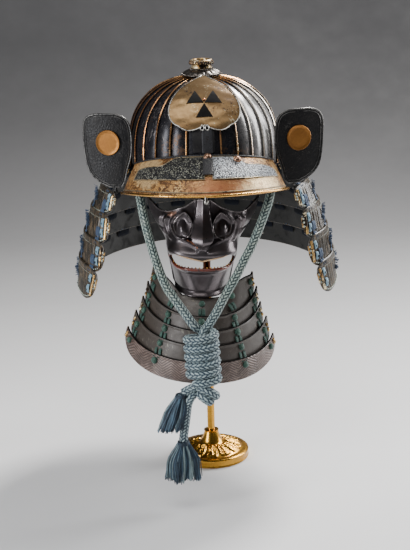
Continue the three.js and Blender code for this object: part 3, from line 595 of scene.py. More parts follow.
def finish(name, colour, mottle=None, roughness=0.4, metallic=0.0, coat=0.0, cloud=60,
           spots=(), scratches=(), pebbles=None, dents=0.0, extra=None, sheen=0.0, gloss=0.5):
    """A finish from its base tone, its uneven second tone and what has happened to its surface.

    spots: (colour, scale, amount); scratches: (colour, scale, turn, amount);
    pebbles: (scale, depth in mm, groove colour); extra paints what is special to one finish.
    """
    made = bpy.data.materials.new(name)
    made.use_nodes = True
    brush = Paint(made.node_tree)
    shader = made.node_tree.nodes["Principled BSDF"]
    place = brush.add("ShaderNodeTexCoord").outputs["Object"]
    cloudy = brush.use(clouding(), {"Vector": place, "Scale": cloud})["Mask"]
    tone = brush.blend(cloudy, colour4(colour), colour4(mottle or colour))
    rough = brush.remap(cloudy, 0, 1, roughness * 0.8, min(1, roughness * 1.25))
    normal = None
    if dents:
        waves = brush.noise(place, 90, 3, 0.5)
        normal = brush.relief(waves, 0.5, dents * MM)
    if pebbles:
        scale, depth, groove = pebbles
        grain = brush.use(pebbling(), {"Vector": place, "Scale": scale})
        tone = brush.blend(grain["Grooves"], tone, colour4(groove))
        normal = brush.relief(grain["Height"], 1.0, depth * MM, normal)
    for shade, scale, amount in spots:
        mask = brush.use(speckle(), {"Vector": place, "Scale": scale, "Amount": amount})["Mask"]
        tone = brush.blend(mask, tone, colour4(shade))
        rough = brush.sum("MULTIPLY_ADD", mask, 0.12, rough)
    for shade, scale, turn, amount in scratches:
        inputs = {"Vector": place, "Scale": scale, "Turn": turn, "Amount": amount}
        mask = brush.use(scratching(), inputs)["Mask"]
        tone = brush.blend(mask, tone, colour4(shade))
        normal = brush.relief(mask, 0.4, 0.15 * MM, normal)
    if extra:
        tone, rough, normal = extra(brush, place, tone, rough, normal)
    brush.tree.links.new(tone, shader.inputs["Base Color"])
    brush.tree.links.new(rough, shader.inputs["Roughness"])
    if normal is not None:
        brush.tree.links.new(normal, shader.inputs["Normal"])
    shader.inputs["Metallic"].default_value = metallic
    shader.inputs["Coat Weight"].default_value = coat
    shader.inputs["Coat Roughness"].default_value = 0.08
    shader.inputs["Sheen Weight"].default_value = sheen
    shader.inputs["Specular IOR Level"].default_value = gloss
    return made


# Worn places, painted highlights and painted shade: centre and reach in millimetres, softness, raggedness and
# the scale of its rags.
PATCHES = {
    "visor copper": ((20, -165, 434), (34, 70, 20), 0.9, 0.35, 70),
    "visor cream": ((-80, -112, 456), (26, 34, 20), 0.25, 0.6, 110),
    "visor scrapes": ((84, -120, 436), (44, 50, 14), 0.5, 0.7, 90),
    "painted highlight plates": ((82, -62, 528), (40, 62, 62), 0.7, 0.15, 40),
    "painted highlight ribs": ((86, -62, 530), (44, 66, 66), 0.7, 0.15, 40),
    "coppery ribs": ((-96, -50, 530), (52, 80, 90), 0.8, 0.3, 40),
    "shaded nose": ((-4, -150, 432), (26, 60, 20), 1.0, 0.1, 40),
    "worn eye": ((-49, -112, 397), (9, 20, 6), 0.4, 0.5, 140),
}


def patch(brush, place, name):
    """The mask of one worn place, painted highlight or painted shade."""
    centre, reach, soft, rag, scale = PATCHES[name]
    from_centre = brush.add(
        "ShaderNodeVectorMath", {0: place, 1: tuple(c * MM for c in centre)}, operation="SUBTRACT",
    ).outputs[0]
    scaled = brush.add(
        "ShaderNodeVectorMath", {0: from_centre, 1: tuple(1 / (r * MM) for r in reach)},
        operation="MULTIPLY",
    ).outputs[0]
    far = brush.add("ShaderNodeVectorMath", {0: scaled}, operation="LENGTH").outputs["Value"]
    torn = brush.noise(place, scale, 5, 0.65, 0.3)
    level = brush.sum("MULTIPLY_ADD", torn, rag * 2, brush.sum("SUBTRACT", far, rag))
    return brush.remap(level, 1 - soft / 2, 1 + soft / 2, 1.0, 0.0)


GRAIN = 430


def visor_leaf(brush, place, tone, rough, normal):
    """Gold leaf over lacquer: copper-red and smooth in the middle, flaked at both sides."""
    flakes = brush.noise(brush.stretch(place, (1, 1, 1.6)), 95, 6, 0.72, 1.5)
    torn = brush.remap(flakes, 0.48, 0.53)
    red = brush.times(patch(brush, place, "visor copper"), 0.75)
    smooth = brush.sum("SUBTRACT", 1.0, red)
    tone = brush.tint(tone, (0.10, 0.045, 0.018), torn, smooth)
    tone = brush.tint(tone, (0.30, 0.095, 0.035), red)
    cream = patch(brush, place, "visor cream")
    tone = brush.tint(tone, (0.55, 0.38, 0.19), cream, 0.8)
    scraped = patch(brush, place, "visor scrapes")
    bright = brush.use(scratching(), {"Vector": place, "Scale": 110, "Turn": 0.2, "Amount": 0.7})["Mask"]
    tone = brush.tint(tone, (0.62, 0.46, 0.24), scraped, bright)
    veins = brush.cells(place, 170, "DISTANCE_TO_EDGE")
    crack = brush.times(brush.remap(veins, 0.0, 0.05, 1.0, 0.0), smooth)
    tone = brush.tint(tone, (0.055, 0.025, 0.012), crack, 0.7)
    wrinkle = brush.noise(place, 260, 4, 0.6, 1.2)
    normal = brush.relief(wrinkle, 0.7, 0.5 * MM, normal)
    return tone, rough, brush.relief(crack, 0.5, 0.2 * MM, normal)


def painted_glare_grain(brush, place, tone, rough, normal):
    """Painted highlight: grain tops lit pale silver in uneven patches, standing in for the lamps' glare on
    the right of the visor.
    """
    grain = brush.cells(place, GRAIN)
    peak = brush.remap(grain, 0.30, 0.62, 1.0, 0.0)
    worn = brush.remap(brush.noise(place, 60, 3, 0.6), 0.35, 0.60, 0.45, 1.0)
    tone = brush.tint(tone, (0.66, 0.70, 0.74), peak, worn)
    return tone, rough, normal


def left_leather(brush, place, tone, rough, normal):
    """An olive-gold tone on the tops of the grain, uneven across the panel."""
    grain = brush.cells(place, GRAIN)
    peak = brush.remap(grain, 0.22, 0.46, 1.0, 0.0)
    worn = brush.noise(place, 80, 3, 0.6)
    mask = brush.times(peak, brush.remap(worn, 0.30, 0.60, 0.25, 1.0))
    tone = brush.tint(tone, (0.33, 0.33, 0.26), mask)
    return tone, rough, normal


def painted_highlight_iron(brush, place, tone, rough, normal):
    """Painted highlight: plates paled high on the right of the bowl, standing in for the lamps' reflection
    there.
    """
    painted_highlight = patch(brush, place, "painted highlight plates")
    tone = brush.tint(tone, (0.42, 0.41, 0.40), painted_highlight, 0.55)
    return tone, rough, normal


def copper_and_painted_highlight_gilding(brush, place, tone, rough, normal):
    """Ribs whose gilding carries a pale painted highlight on the right and has gone coppery on the left."""
    painted_highlight = patch(brush, place, "painted highlight ribs")
    tone = brush.tint(tone, (0.74, 0.70, 0.62), painted_highlight, 0.9)
    red = patch(brush, place, "coppery ribs")
    tone = brush.tint(tone, (0.30, 0.125, 0.055), red, 0.7)
    return tone, rough, normal


def mask_face(brush, place, tone, rough, normal):
    """Painted shade on the nose under the visor, bronze showing through by the left eye, and a faint violet
    bloom.
    """
    shade = patch(brush, place, "shaded nose")
    tone = brush.tint(tone, (0.004, 0.004, 0.005), shade, 0.9)
    worn = patch(brush, place, "worn eye")
    tone = brush.tint(tone, (0.36, 0.17, 0.10), worn)
    bloom = brush.remap(brush.noise(place, 30, 3, 0.5, 0.4), 0.45, 0.7)
    tone = brush.tint(tone, (0.040, 0.026, 0.028), bloom, 0.5)
    pits = brush.noise(place, 420, 4, 0.6)
    return tone, rough, brush.relief(pits, 0.25, 0.2 * MM, normal)


def engraved(brush, place, tone, rough, normal):
    """A cut herringbone on the lowest plate of the throat guard, worn pale in places."""
    parts = brush.axes(place)
    column = brush.times(parts["X"], 1 / 0.026)
    side = brush.sum("PINGPONG", column, 0.5)
    rise = brush.sum("MULTIPLY_ADD", side, 5.2, brush.times(parts["Z"], 1 / 0.0036))
    cut = brush.sum("PINGPONG", rise, 0.5)
    ridge = brush.remap(cut, 0.12, 0.34)
    worn = brush.remap(brush.noise(place, 46, 5, 0.7), 0.40, 0.62, 0.12, 1.0)
    tone = brush.tint(tone, (0.19, 0.135, 0.115), ridge, worn)
    return tone, rough, brush.relief(ridge, 0.8, 0.35 * MM, normal)


def lame_inside(brush, place, tone, rough, normal):
    """Grey-green lacquer crazed all over with darker runs, and painted shade that deepens towards the back of
    the neck.
    """
    veins = brush.cells(place, 150, "DISTANCE_TO_EDGE")
    crack = brush.remap(veins, 0.0, 0.05, 1.0, 0.0)
    tone = brush.tint(tone, (0.012, 0.014, 0.012), crack, 0.5)
    # painted shade: the lining goes near black towards the back, where the helmet shades its inside
    deep = brush.remap(brush.axes(place)["Y"], 0.02, 0.10, 0.0, 0.88)
    tone = brush.tint(tone, (0.002, 0.002, 0.002), deep)
    return tone, rough, brush.relief(crack, 0.4, 0.15 * MM, normal)


def painted_ridge_highlights(brush, place, tone, rough, normal):
    """Painted highlight: tan streaks running up and down the lacquer, standing in for light caught along the
    scales' ridges.
    """
    streaks = brush.noise(brush.stretch(place, (1, 1, 0.12)), 260, 4, 0.65)
    painted_ridge_light = brush.remap(streaks, 0.50, 0.60)
    tone = brush.tint(tone, (0.15, 0.105, 0.062), painted_ridge_light, 0.5)
    return tone, rough, normal


def braided_silk(brush, place, tone, rough, normal):
    """Pale and dark threads, told apart by the braid value that the cord carries; bluer lower down."""
    thread = brush.add("ShaderNodeAttribute", attribute_name="braid").outputs["Fac"]
    dark = colour4(colours().cord_dark)
    low = brush.remap(brush.axes(place)["Z"], 0.24, 0.30, 0.6, 0.0)
    tone = brush.tint(tone, (0.42, 0.55, 0.62), low)
    dark = brush.blend(low, dark, (0.010, 0.035, 0.075, 1))
    tone = brush.blend(thread, tone, dark)
    fibres = brush.noise(brush.stretch(place, (1, 1, 0.25)), 2600, 2, 0.5)
    tone = brush.darken(tone, brush.remap(fibres, 0.35, 0.7), 0.55)
    return tone, rough, brush.relief(fibres, 0.4, 0.2 * MM, normal)


def tassel_silk(brush, place, tone, rough, normal):
    """Threads darkened in long uneven streaks."""
    fade = brush.noise(brush.stretch(place, (1, 1, 0.15)), 300, 2, 0.5)
    return brush.darken(tone, brush.remap(fade, 0.35, 0.65), 0.45), rough, normal


def silk_lacing(brush, place, tone, rough, normal):
    """The slanting plaits of flat silk lacing."""
    plait = brush.add(
        "ShaderNodeTexWave", {"Vector": place, "Scale": 420, "Distortion": 2.5, "Detail": 2.0},
        bands_direction="DIAGONAL",
    ).outputs[1]
    return brush.darken(tone, plait, 0.45), rough, brush.relief(plait, 0.6, 0.25 * MM, normal)


def polished(brush, place, tone, rough, normal):
    """Old polish that leaves the brass's roughness uneven in smudges."""
    smudge = brush.noise(place, 35, 4, 0.6)
    rough = brush.sum("MULTIPLY_ADD", smudge, 0.16, 0.18)
    return tone, rough, normal


def painted_shade_post(brush, place, tone, rough, normal):
    """Painted shade: the post is bright low down and darkened above, where it stands in the mask's shadow."""
    tone, rough, normal = polished(brush, place, tone, rough, normal)
    # painted shade on the post above this height, inside the mask
    high = brush.remap(brush.axes(place)["Z"], 0.26, 0.28)
    tone = brush.tint(tone, (0.045, 0.012, 0.005), high)
    return tone, rough, normal


def painted_falloff(brush, place, tone, rough, normal):
    """Painted shade: the paper darkens steadily as it runs back and climbs, standing in for the lamps'
    falloff.
    """
    parts = brush.axes(place)
    run = brush.sum("MULTIPLY_ADD", parts["Z"], 0.8, parts["Y"])
    fade = brush.ramp(
        brush.times(run, 1 / 2.8),
        (0.0, (0.90, 0.90, 0.905, 1)), (0.15, (0.67, 0.67, 0.675, 1)), (0.30, (0.44, 0.44, 0.445, 1)),
        (0.45, (0.30, 0.30, 0.305, 1)), (0.60, (0.215, 0.215, 0.22, 1)), (0.76, (0.128, 0.128, 0.132, 1)),
        (0.88, (0.10, 0.10, 0.104, 1)), (1.0, (0.105, 0.105, 0.11, 1)),
    )
    return brush.blend(1.0, tone, fade, "MULTIPLY"), rough, normal


def recipes(c):
    """Every finish of the helmet by name, from the colours that the panel offers."""
    black = (0.004, 0.004, 0.005)
    brass = dict(
        colour=c.brass, mottle=(0.50, 0.25, 0.035), roughness=0.24, metallic=1.0, cloud=40,
        spots=[((0.16, 0.07, 0.015), 160, 0.16)],
    )
    lacing = dict(cloud=200, extra=silk_lacing)
    tassel = dict(roughness=0.6, cloud=120, extra=tassel_silk)
    return {
        # the bowl's iron carries a painted highlight high on its right side
        "blued iron": dict(
            colour=c.iron, mottle=(0.026, 0.025, 0.028), roughness=0.27, metallic=0.6,
            spots=[((0.07, 0.04, 0.025), 200, 0.14)],
            scratches=[((0.10, 0.09, 0.09), 60, 0.0, 0.08)], dents=0.4, extra=painted_highlight_iron,
        ),
        # the rib gilding carries a painted highlight on the right of the bowl
        "rib gilding": dict(
            colour=(0.60, 0.34, 0.14), mottle=(0.34, 0.16, 0.065), roughness=0.26, metallic=0.9,
            spots=[((0.06, 0.035, 0.025), 170, 0.30), ((0.85, 0.68, 0.44), 330, 0.22)], extra=copper_and_painted_highlight_gilding,
        ),
        "strap iron": dict(
            colour=(0.032, 0.031, 0.033), mottle=(0.055, 0.052, 0.052), roughness=0.36, metallic=0.7,
            spots=[((0.10, 0.08, 0.06), 260, 0.12)], dents=0.3,
        ),
        "bracket steel": dict(
            colour=(0.13, 0.13, 0.14), mottle=(0.075, 0.075, 0.08), roughness=0.32, metallic=0.9,
            spots=[((0.05, 0.04, 0.035), 260, 0.2)], dents=0.3,
        ),
        "gilding": dict(
            colour=c.gilt, mottle=(0.38, 0.18, 0.05), roughness=0.26, metallic=1.0,
            spots=[((0.10, 0.05, 0.02), 300, 0.16)], dents=0.15,
        ),
        "matte gilding": dict(
            colour=(0.29, 0.125, 0.026), mottle=(0.21, 0.085, 0.018), roughness=0.44, metallic=0.75, cloud=45,
            spots=[((0.20, 0.10, 0.03), 420, 0.12)],
        ),
        "pale gilding": dict(
            colour=(0.72, 0.50, 0.30), mottle=(0.40, 0.24, 0.13), roughness=0.4, metallic=0.6, cloud=120,
        ),
        "worn gilding": dict(
            colour=(0.62, 0.40, 0.15), mottle=(0.26, 0.14, 0.05), roughness=0.3, metallic=0.85,
            spots=[((0.03, 0.02, 0.015), 170, 0.42), ((0.85, 0.74, 0.50), 260, 0.3)],
        ),
        "crown silver": dict(
            colour=(0.17, 0.155, 0.14), mottle=(0.07, 0.06, 0.055), roughness=0.30, metallic=0.9,
            spots=[((0.03, 0.025, 0.02), 350, 0.35)], dents=0.2,
        ),
        "crown bronze": dict(
            colour=(0.16, 0.105, 0.065), mottle=(0.06, 0.035, 0.022), roughness=0.32, metallic=0.9,
            spots=[((0.02, 0.014, 0.010), 350, 0.40)],
        ),
        "rivet copper": dict(
            colour=(0.34, 0.20, 0.13), mottle=(0.20, 0.11, 0.07), roughness=0.28, metallic=0.95,
            spots=[((0.06, 0.04, 0.03), 350, 0.2)],
        ),
        "visor leaf": dict(
            colour=c.leaf, mottle=(0.30, 0.145, 0.045), roughness=0.38, metallic=0.35, gloss=0.35,
            spots=[((0.10, 0.045, 0.02), 240, 0.24), ((0.62, 0.42, 0.19), 300, 0.22)], extra=visor_leaf,
        ),
        "visor underside": dict(
            colour=(0.012, 0.009, 0.008), mottle=(0.03, 0.02, 0.015), roughness=0.4,
            spots=[((0.06, 0.04, 0.025), 300, 0.15)],
        ),
        "left visor leather": dict(
            colour=c.leather, mottle=(0.012, 0.012, 0.013), roughness=0.40, gloss=0.35,
            pebbles=(GRAIN, 0.9, black), extra=left_leather,
        ),
        # painted highlight: the same black leather as the left, in a paler tone with its grooves left black,
        # for the glare of the lamps on the right of the visor
        "right visor leather": dict(
            colour=(0.10, 0.105, 0.115), mottle=(0.16, 0.165, 0.175), roughness=0.34,
            pebbles=(GRAIN, 0.8, black), extra=painted_glare_grain,
        ),
        "strap leather": dict(
            colour=(0.010, 0.010, 0.012), mottle=(0.022, 0.022, 0.025), roughness=0.36, gloss=0.4,
            spots=[((0.08, 0.075, 0.07), 500, 0.12)], pebbles=(900, 0.15, black),
        ),
        "piping": dict(
            colour=(0.34, 0.27, 0.16), mottle=(0.12, 0.09, 0.06), roughness=0.4, metallic=0.5,
            spots=[((0.03, 0.03, 0.03), 400, 0.3)],
        ),
        "ear leather": dict(
            colour=(0.006, 0.006, 0.007), mottle=(0.012, 0.011, 0.011), roughness=0.42, gloss=0.2,
            spots=[((0.05, 0.047, 0.045), 420, 0.10)], dents=0.4, pebbles=(240, 0.22, black),
        ),
        "ear edging": dict(
            colour=(0.16, 0.155, 0.15), mottle=(0.05, 0.05, 0.05), roughness=0.34, metallic=0.85,
            spots=[((0.02, 0.02, 0.02), 260, 0.35)], dents=0.2,
        ),
        "silver trim": dict(
            colour=c.silver, mottle=(0.22, 0.21, 0.19), roughness=0.28, metallic=0.95,
            spots=[((0.06, 0.055, 0.05), 300, 0.3)], dents=0.3,
        ),
        "tarnished crest": dict(
            colour=c.crest, mottle=(0.125, 0.068, 0.026), roughness=0.34, metallic=0.78, cloud=24,
            spots=[((0.045, 0.025, 0.015), 300, 0.16), ((0.42, 0.36, 0.25), 330, 0.12)],
            scratches=[((0.36, 0.31, 0.21), 50, 0.5, 0.12)], dents=0.4,
        ),
        "triangle lacquer": dict(
            colour=(0.003, 0.003, 0.003), mottle=(0.006, 0.005, 0.005), roughness=0.75, gloss=0.15,
        ),
        "copper": dict(
            colour=(0.62, 0.24, 0.11), mottle=(0.30, 0.10, 0.05), roughness=0.28, metallic=0.95,
            spots=[((0.07, 0.04, 0.03), 350, 0.28)],
        ),
        "mask lacquer": dict(
            colour=c.mask, mottle=(0.115, 0.10, 0.105), roughness=0.34, metallic=0.85, coat=0.15, gloss=1.0,
            spots=[((0.10, 0.07, 0.055), 330, 0.04)], dents=0.3, extra=mask_face,
        ),
        # painted highlight: a pale tone on the mask's raised rims, for light along its top edge and round the
        # nostrils
        "mask edging": dict(
            colour=(0.34, 0.30, 0.30), mottle=(0.10, 0.09, 0.09), roughness=0.30, metallic=0.8, cloud=90,
        ),
        # painted shade: a dull black for the dark inside the eyelet holes and the shadow line along the top
        # of each throat plate
        "pitch black": dict(colour=(0.003, 0.003, 0.003), roughness=0.8, gloss=0.1),
        "lip lacquer": dict(
            colour=(0.20, 0.040, 0.022), mottle=(0.10, 0.02, 0.012), roughness=0.26, coat=0.3,
            spots=[((0.02, 0.01, 0.01), 300, 0.2)],
        ),
        "mask lining": dict(
            colour=(0.055, 0.010, 0.008), mottle=(0.03, 0.008, 0.006), roughness=0.4,
            spots=[((0.01, 0.005, 0.005), 200, 0.2)],
        ),
        "throat lacquer": dict(
            colour=c.throat, mottle=(0.030, 0.022, 0.017), roughness=0.46, metallic=0.1, gloss=0.6,
            spots=[((0.010, 0.008, 0.007), 170, 0.12), ((0.13, 0.11, 0.08), 420, 0.08)],
            scratches=[((0.11, 0.10, 0.08), 55, 0.3, 0.08)], dents=0.4,
        ),
        "engraved lacquer": dict(
            colour=(0.030, 0.017, 0.013), mottle=(0.060, 0.036, 0.028), roughness=0.42, gloss=0.6,
            metallic=0.1, spots=[((0.20, 0.15, 0.12), 420, 0.12)], extra=engraved,
        ),
        "scale lacquer": dict(
            colour=c.lacquer, mottle=(0.030, 0.026, 0.020), roughness=0.28, gloss=0.4,
            spots=[((0.07, 0.055, 0.035), 260, 0.18)], extra=painted_ridge_highlights,
        ),
        "lame lining": dict(
            colour=c.lining, mottle=(0.026, 0.029, 0.023), roughness=0.42, gloss=0.3,
            spots=[((0.010, 0.011, 0.010), 60, 0.3), ((0.11, 0.11, 0.085), 330, 0.06)],
            extra=lame_inside,
        ),
        "pale stitching": dict(
            colour=(0.52, 0.56, 0.48), mottle=(0.26, 0.30, 0.28), roughness=0.5, cloud=150,
            spots=[((0.06, 0.08, 0.08), 300, 0.25)],
        ),
        "sky lacing": dict(
            colour=(0.16, 0.30, 0.42), mottle=(0.26, 0.42, 0.52), roughness=0.7, sheen=0.1, **lacing,
        ),
        "blue lacing": dict(
            colour=(0.012, 0.032, 0.085), mottle=(0.03, 0.07, 0.14), roughness=0.75, sheen=0.1,
            **lacing,
        ),
        "green knots": dict(
            colour=(0.012, 0.058, 0.036), mottle=(0.035, 0.12, 0.085), roughness=0.55, cloud=160,
            extra=silk_lacing, sheen=0.1,
        ),
        "navy lacing": dict(
            colour=(0.004, 0.006, 0.012), mottle=(0.008, 0.012, 0.022), roughness=0.8, gloss=0.2,
            **lacing,
        ),
        "green lacing": dict(
            colour=(0.012, 0.050, 0.036), mottle=(0.03, 0.10, 0.075), roughness=0.65, sheen=0.1,
            **lacing,
        ),
        "braided silk": dict(
            colour=c.cord_pale, mottle=(0.40, 0.54, 0.50), roughness=0.7, cloud=90,
            extra=braided_silk, sheen=0.1,
        ),
        "navy tassel silk": dict(
            colour=(0.008, 0.022, 0.042), mottle=(0.018, 0.045, 0.080), **tassel,
        ),
        "blue tassel silk": dict(
            colour=(0.055, 0.115, 0.175), mottle=(0.09, 0.16, 0.22), **tassel,
        ),
        "pale tassel silk": dict(
            colour=(0.17, 0.25, 0.28), mottle=(0.26, 0.34, 0.34), **tassel,
        ),
        "polished brass": dict(brass, extra=polished),
        "darkened brass": dict(brass, extra=painted_shade_post),
        "studio floor": dict(colour=c.floor, mottle=c.floor, roughness=0.9, cloud=3, extra=painted_falloff),
    }


def paint(name):
    """A finish by name, made the first time that a piece asks for it."""
    return bpy.data.materials.get(name) or finish(name, **recipes(colours())[name])


def sizes():
    return bpy.context.scene.kabuto_sizes


def colours():
    return bpy.context.scene.kabuto_colours


# ---- repeated parts --------------------------------------------------------------------------


@shared("set on places")
def setting_tree(name):
    """Sets one small part on every place of a mesh, facing out and lying along it."""
    brush, given = node_tree(
        name, Part="Object", Size="Float", Size_Variation="Float", Finish="Material", Seed="Int",
    )

    def attribute(label):
        named = brush.add("GeometryNodeInputNamedAttribute", {"Name": label}, data_type="FLOAT_VECTOR")
        return named.outputs[0]

    part = brush.add("GeometryNodeObjectInfo", {"Object": given["Part"]}).outputs["Geometry"]
    turned = brush.add(
        "FunctionNodeAxesToRotation",
        {"Primary Axis": attribute("out"), "Secondary Axis": attribute("along")},
        primary_axis="Z", secondary_axis="X",
    ).outputs[0]
    least = brush.sum("SUBTRACT", 1.0, given["Size Variation"])
    chance = brush.add(
        "FunctionNodeRandomValue", {2: least, 3: 1.0, "Seed": given["Seed"]}, data_type="FLOAT",
    ).outputs[1]
    share = brush.times(chance, given["Size"])
    scale = brush.add(
        "ShaderNodeVectorMath", {0: attribute("stretch"), "Scale": share}, operation="SCALE",
    ).outputs[0]
    on = brush.add(
        "GeometryNodeInstanceOnPoints",
        {"Points": given["Geometry"], "Instance": part, "Rotation": turned, "Scale": scale},
    ).outputs[0]
    return end_tree(brush, on, given["Finish"])


@shared("sweep threads")
def thread_tree(name):
    """Turns lines into round threads."""
    brush, given = node_tree(name, Radius="Float", Sides="Int", Finish="Material")
    line = brush.add("GeometryNodeMeshToCurve", {"Mesh": given["Geometry"]}).outputs[0]
    ring = brush.add(
        "GeometryNodeCurvePrimitiveCircle", {"Resolution": given["Sides"], "Radius": given["Radius"]},
    ).outputs[0]
    swept = brush.add(
        "GeometryNodeCurveToMesh", {"Curve": line, "Profile Curve": ring, "Fill Caps": True},
    ).outputs[0]
    soft = brush.add("GeometryNodeSetShadeSmooth", {"Geometry": swept}).outputs[0]
    return end_tree(brush, soft, given["Finish"])


@shared("ribs round bowl")
def rib_tree(name):
    """Sets a rib on every joint between the bowl's plates, out to the bowl's oval."""
    brush, given = node_tree(
        name, Rib="Object", Count="Int", Half_Width="Float", Half_Depth="Float", Reach="Float",
        Finish="Material",
    )
    rib = brush.add("GeometryNodeObjectInfo", {"Object": given["Rib"]}).outputs["Geometry"]
    joints = brush.sum("SUBTRACT", given["Count"], 1.0)
    line = brush.add("GeometryNodeMeshLine", {"Offset": (0, 0, 0), "Count": joints}).outputs[0]
    index = brush.add("GeometryNodeInputIndex").outputs[0]
    share = brush.sum("DIVIDE", brush.sum("ADD", index, 1.0), given["Count"])
    turn = brush.times(share, 2 * math.pi)
    x = brush.times(brush.sum("SINE", turn), given["Half Width"])
    y = brush.times(brush.sum("COSINE", turn), given["Half Depth"])
    facing = brush.sum("ARCTAN2", x, y)
    far = brush.sum("SQRT", brush.sum("ADD", brush.times(x, x), brush.times(y, y)))
    stretch = brush.sum("DIVIDE", far, given["Reach"])
    angles = brush.add("ShaderNodeCombineXYZ", {"Z": facing}).outputs[0]
    turned = brush.add("FunctionNodeEulerToRotation", {0: angles}).outputs[0]
    scale = brush.add("ShaderNodeCombineXYZ", {"X": 1.0, "Y": stretch, "Z": 1.0}).outputs[0]
    on = brush.add(
        "GeometryNodeInstanceOnPoints",
        {"Points": line, "Instance": rib, "Rotation": turned, "Scale": scale},
    ).outputs[0]
    return end_tree(brush, on, given["Finish"])


def set_on(name, part, places, out, along, material, stretch=(1, 1, 1), size=1.0, vary=0.0, seed=1):
    """One small part on many places: its Z faces out, its X lies along."""
    places = np.asarray(places, float).reshape(-1, 3)
    count = len(places)
    mesh = bpy.data.meshes.new(name)
    mesh.from_pydata((places * MM).tolist(), [], [])
    for label, value in (("out", out), ("along", along), ("stretch", stretch)):
        values = np.broadcast_to(np.asarray(value, float).reshape(-1, 3), (count, 3))
        mesh.attributes.new(label, "FLOAT_VECTOR", "POINT").data.foreach_set("vector", values.ravel())
    piece = put(name, mesh)
    unit = make(name + ".part", [(part, material)], 40)
    values = {"Part": unit, "Size": size, "Size Variation": vary, "Finish": paint(material), "Seed": seed}
    run_tree(piece, setting_tree(), values)
    bpy.data.objects.remove(unit)
    return piece


def sweep(name, lines, radius, material, sides=6):
    """Thin round threads or wires along several lines, as one piece."""
    points, edges = [], []
    for line in lines:
        start = len(points)
        points += (np.asarray(line, float) * MM).tolist()
        edges += [(i, i + 1) for i in range(start, len(points) - 1)]
    mesh = bpy.data.meshes.new(name)
    mesh.from_pydata(points, edges, [])
    values = {"Radius": radius * MM, "Sides": sides, "Finish": paint(material)}
    return run_tree(put(name, mesh), thread_tree(), values)


def join(name, pieces):
    """Several made pieces as one, keeping their finishes."""
    materials, points, faces, slots, smooth = [], [], [], [], []
    start = 0
    for piece in pieces:
        mesh = piece.data
        for material in mesh.materials:
            if material not in materials:
                materials.append(material)
        count = len(mesh.vertices)
        flat = np.empty(count * 3)
        mesh.vertices.foreach_get("co", flat)
        points.append(flat.reshape(-1, 3))
        for face in mesh.polygons:
            faces.append([start + i for i in face.vertices])
            slots.append(materials.index(mesh.materials[face.material_index]))
            smooth.append(face.use_smooth)
        start += count
    joined = bpy.data.meshes.new(name)
    joined.from_pydata(np.concatenate(points).tolist(), [], faces)
    dress(joined, materials, slots, smooth, 40)
    for piece in pieces:
        bpy.data.objects.remove(piece)
    return put(name, joined)


def bead_along(path, pitch):
    """Places an even pitch apart along a line, with the line's direction at each."""
    fine = evenly(np.asarray(path, float), pitch)
    return fine, frames_along(fine)[0]


# ---- camera, floor and light ---------------------------------------------------------------


# Lamps: size, place, aim, power in watts and tint, in metres.
LAMPS = {
    "key": ((0.5, 0.5), (0.80, 1.15, 1.95), (0, 0, 0.35), 104, (1.0, 0.98, 0.95)),
    "overhead": ((1.5, 1.1), (-0.3, -0.8, 2.1), (0, 0, 0.3), 24, (1.0, 0.99, 0.97)),
    "strip": ((0.45, 1.15), (-1.25, -0.85, 0.60), (0, 0, 0.35), 22, (0.97, 0.98, 1.0)),
    "edge": ((0.70, 1.5), (1.35, 0.45, 1.00), (0, -0.75, 0.45), 44, (1.0, 1.0, 1.0)),
}


def aimed(place, aim):
    """The turn that points a camera or a lamp at its aim."""
    return (Vector(aim) - Vector(place)).to_track_quat("-Z", "Y").to_matrix()


def set_camera():
    view = sizes()
    turned = aimed(view.camera_place, view.camera_aim) @ Matrix.Rotation(view.camera_roll, 3, "Z")
    data = bpy.data.cameras.new("camera")
    data.sensor_width = 36
    data.lens = view.camera_lens
    camera = put("camera", data)
    camera.matrix_world = Matrix.Translation(Vector(view.camera_place)) @ turned.to_4x4()
    bpy.context.scene.camera = camera


def set_stage():
    """A pale floor that curves up into a backdrop, with soft lamps round the helmet."""
    half, front, bend, back, top = 3.2, -2.6, 1.4, 0.9, 3.4
    turn = np.linspace(0, math.pi / 2, 24)
    profile = [(front, 0.0), (bend, 0.0)]
    profile += [(bend + back * math.sin(a), back * (1 - math.cos(a))) for a in turn]
    profile.append((bend + back, top))
    rows = np.array([[(-half, y, z), (half, y, z)] for y, z in profile]) / MM
    shape = Shape(rows.reshape(-1, 3), sheet_faces(2, len(profile)))
    make("studio_floor", [(shape, "studio floor")], 60)
    for name, (area, place, aim, power, tint) in LAMPS.items():
        lamp = bpy.data.lights.new(name, "AREA")
        lamp.shape = "RECTANGLE"
        lamp.size, lamp.size_y = area
        lamp.energy = power * sizes().light
        lamp.color = tint
        put(name, lamp).matrix_world = Matrix.Translation(Vector(place)) @ aimed(place, aim).to_4x4()
    world = bpy.data.worlds.new("studio")
    world.use_nodes = True
    sky = world.node_tree.nodes["Background"]
    sky.inputs["Color"].default_value = (0.80, 0.82, 0.86, 1)
    sky.inputs["Strength"].default_value = 0.10
    bpy.context.scene.world = world


# ---- chin cord -------------------------------------------------------------------------------


def helix(share):
    """The centre of the wound cord at a share of the knot's height, starting at its back."""
    top, bottom = np.array(KNOT["top"]), np.array(KNOT["bottom"])
    turn = -math.pi - 2 * math.pi * KNOT["turns"] * share
    middle = lerp(top, bottom, np.asarray(share)[..., None])
    swing = stacked(KNOT["wide"] * np.sin(turn), -KNOT["deep"] * np.cos(turn), 0)
    return middle + swing


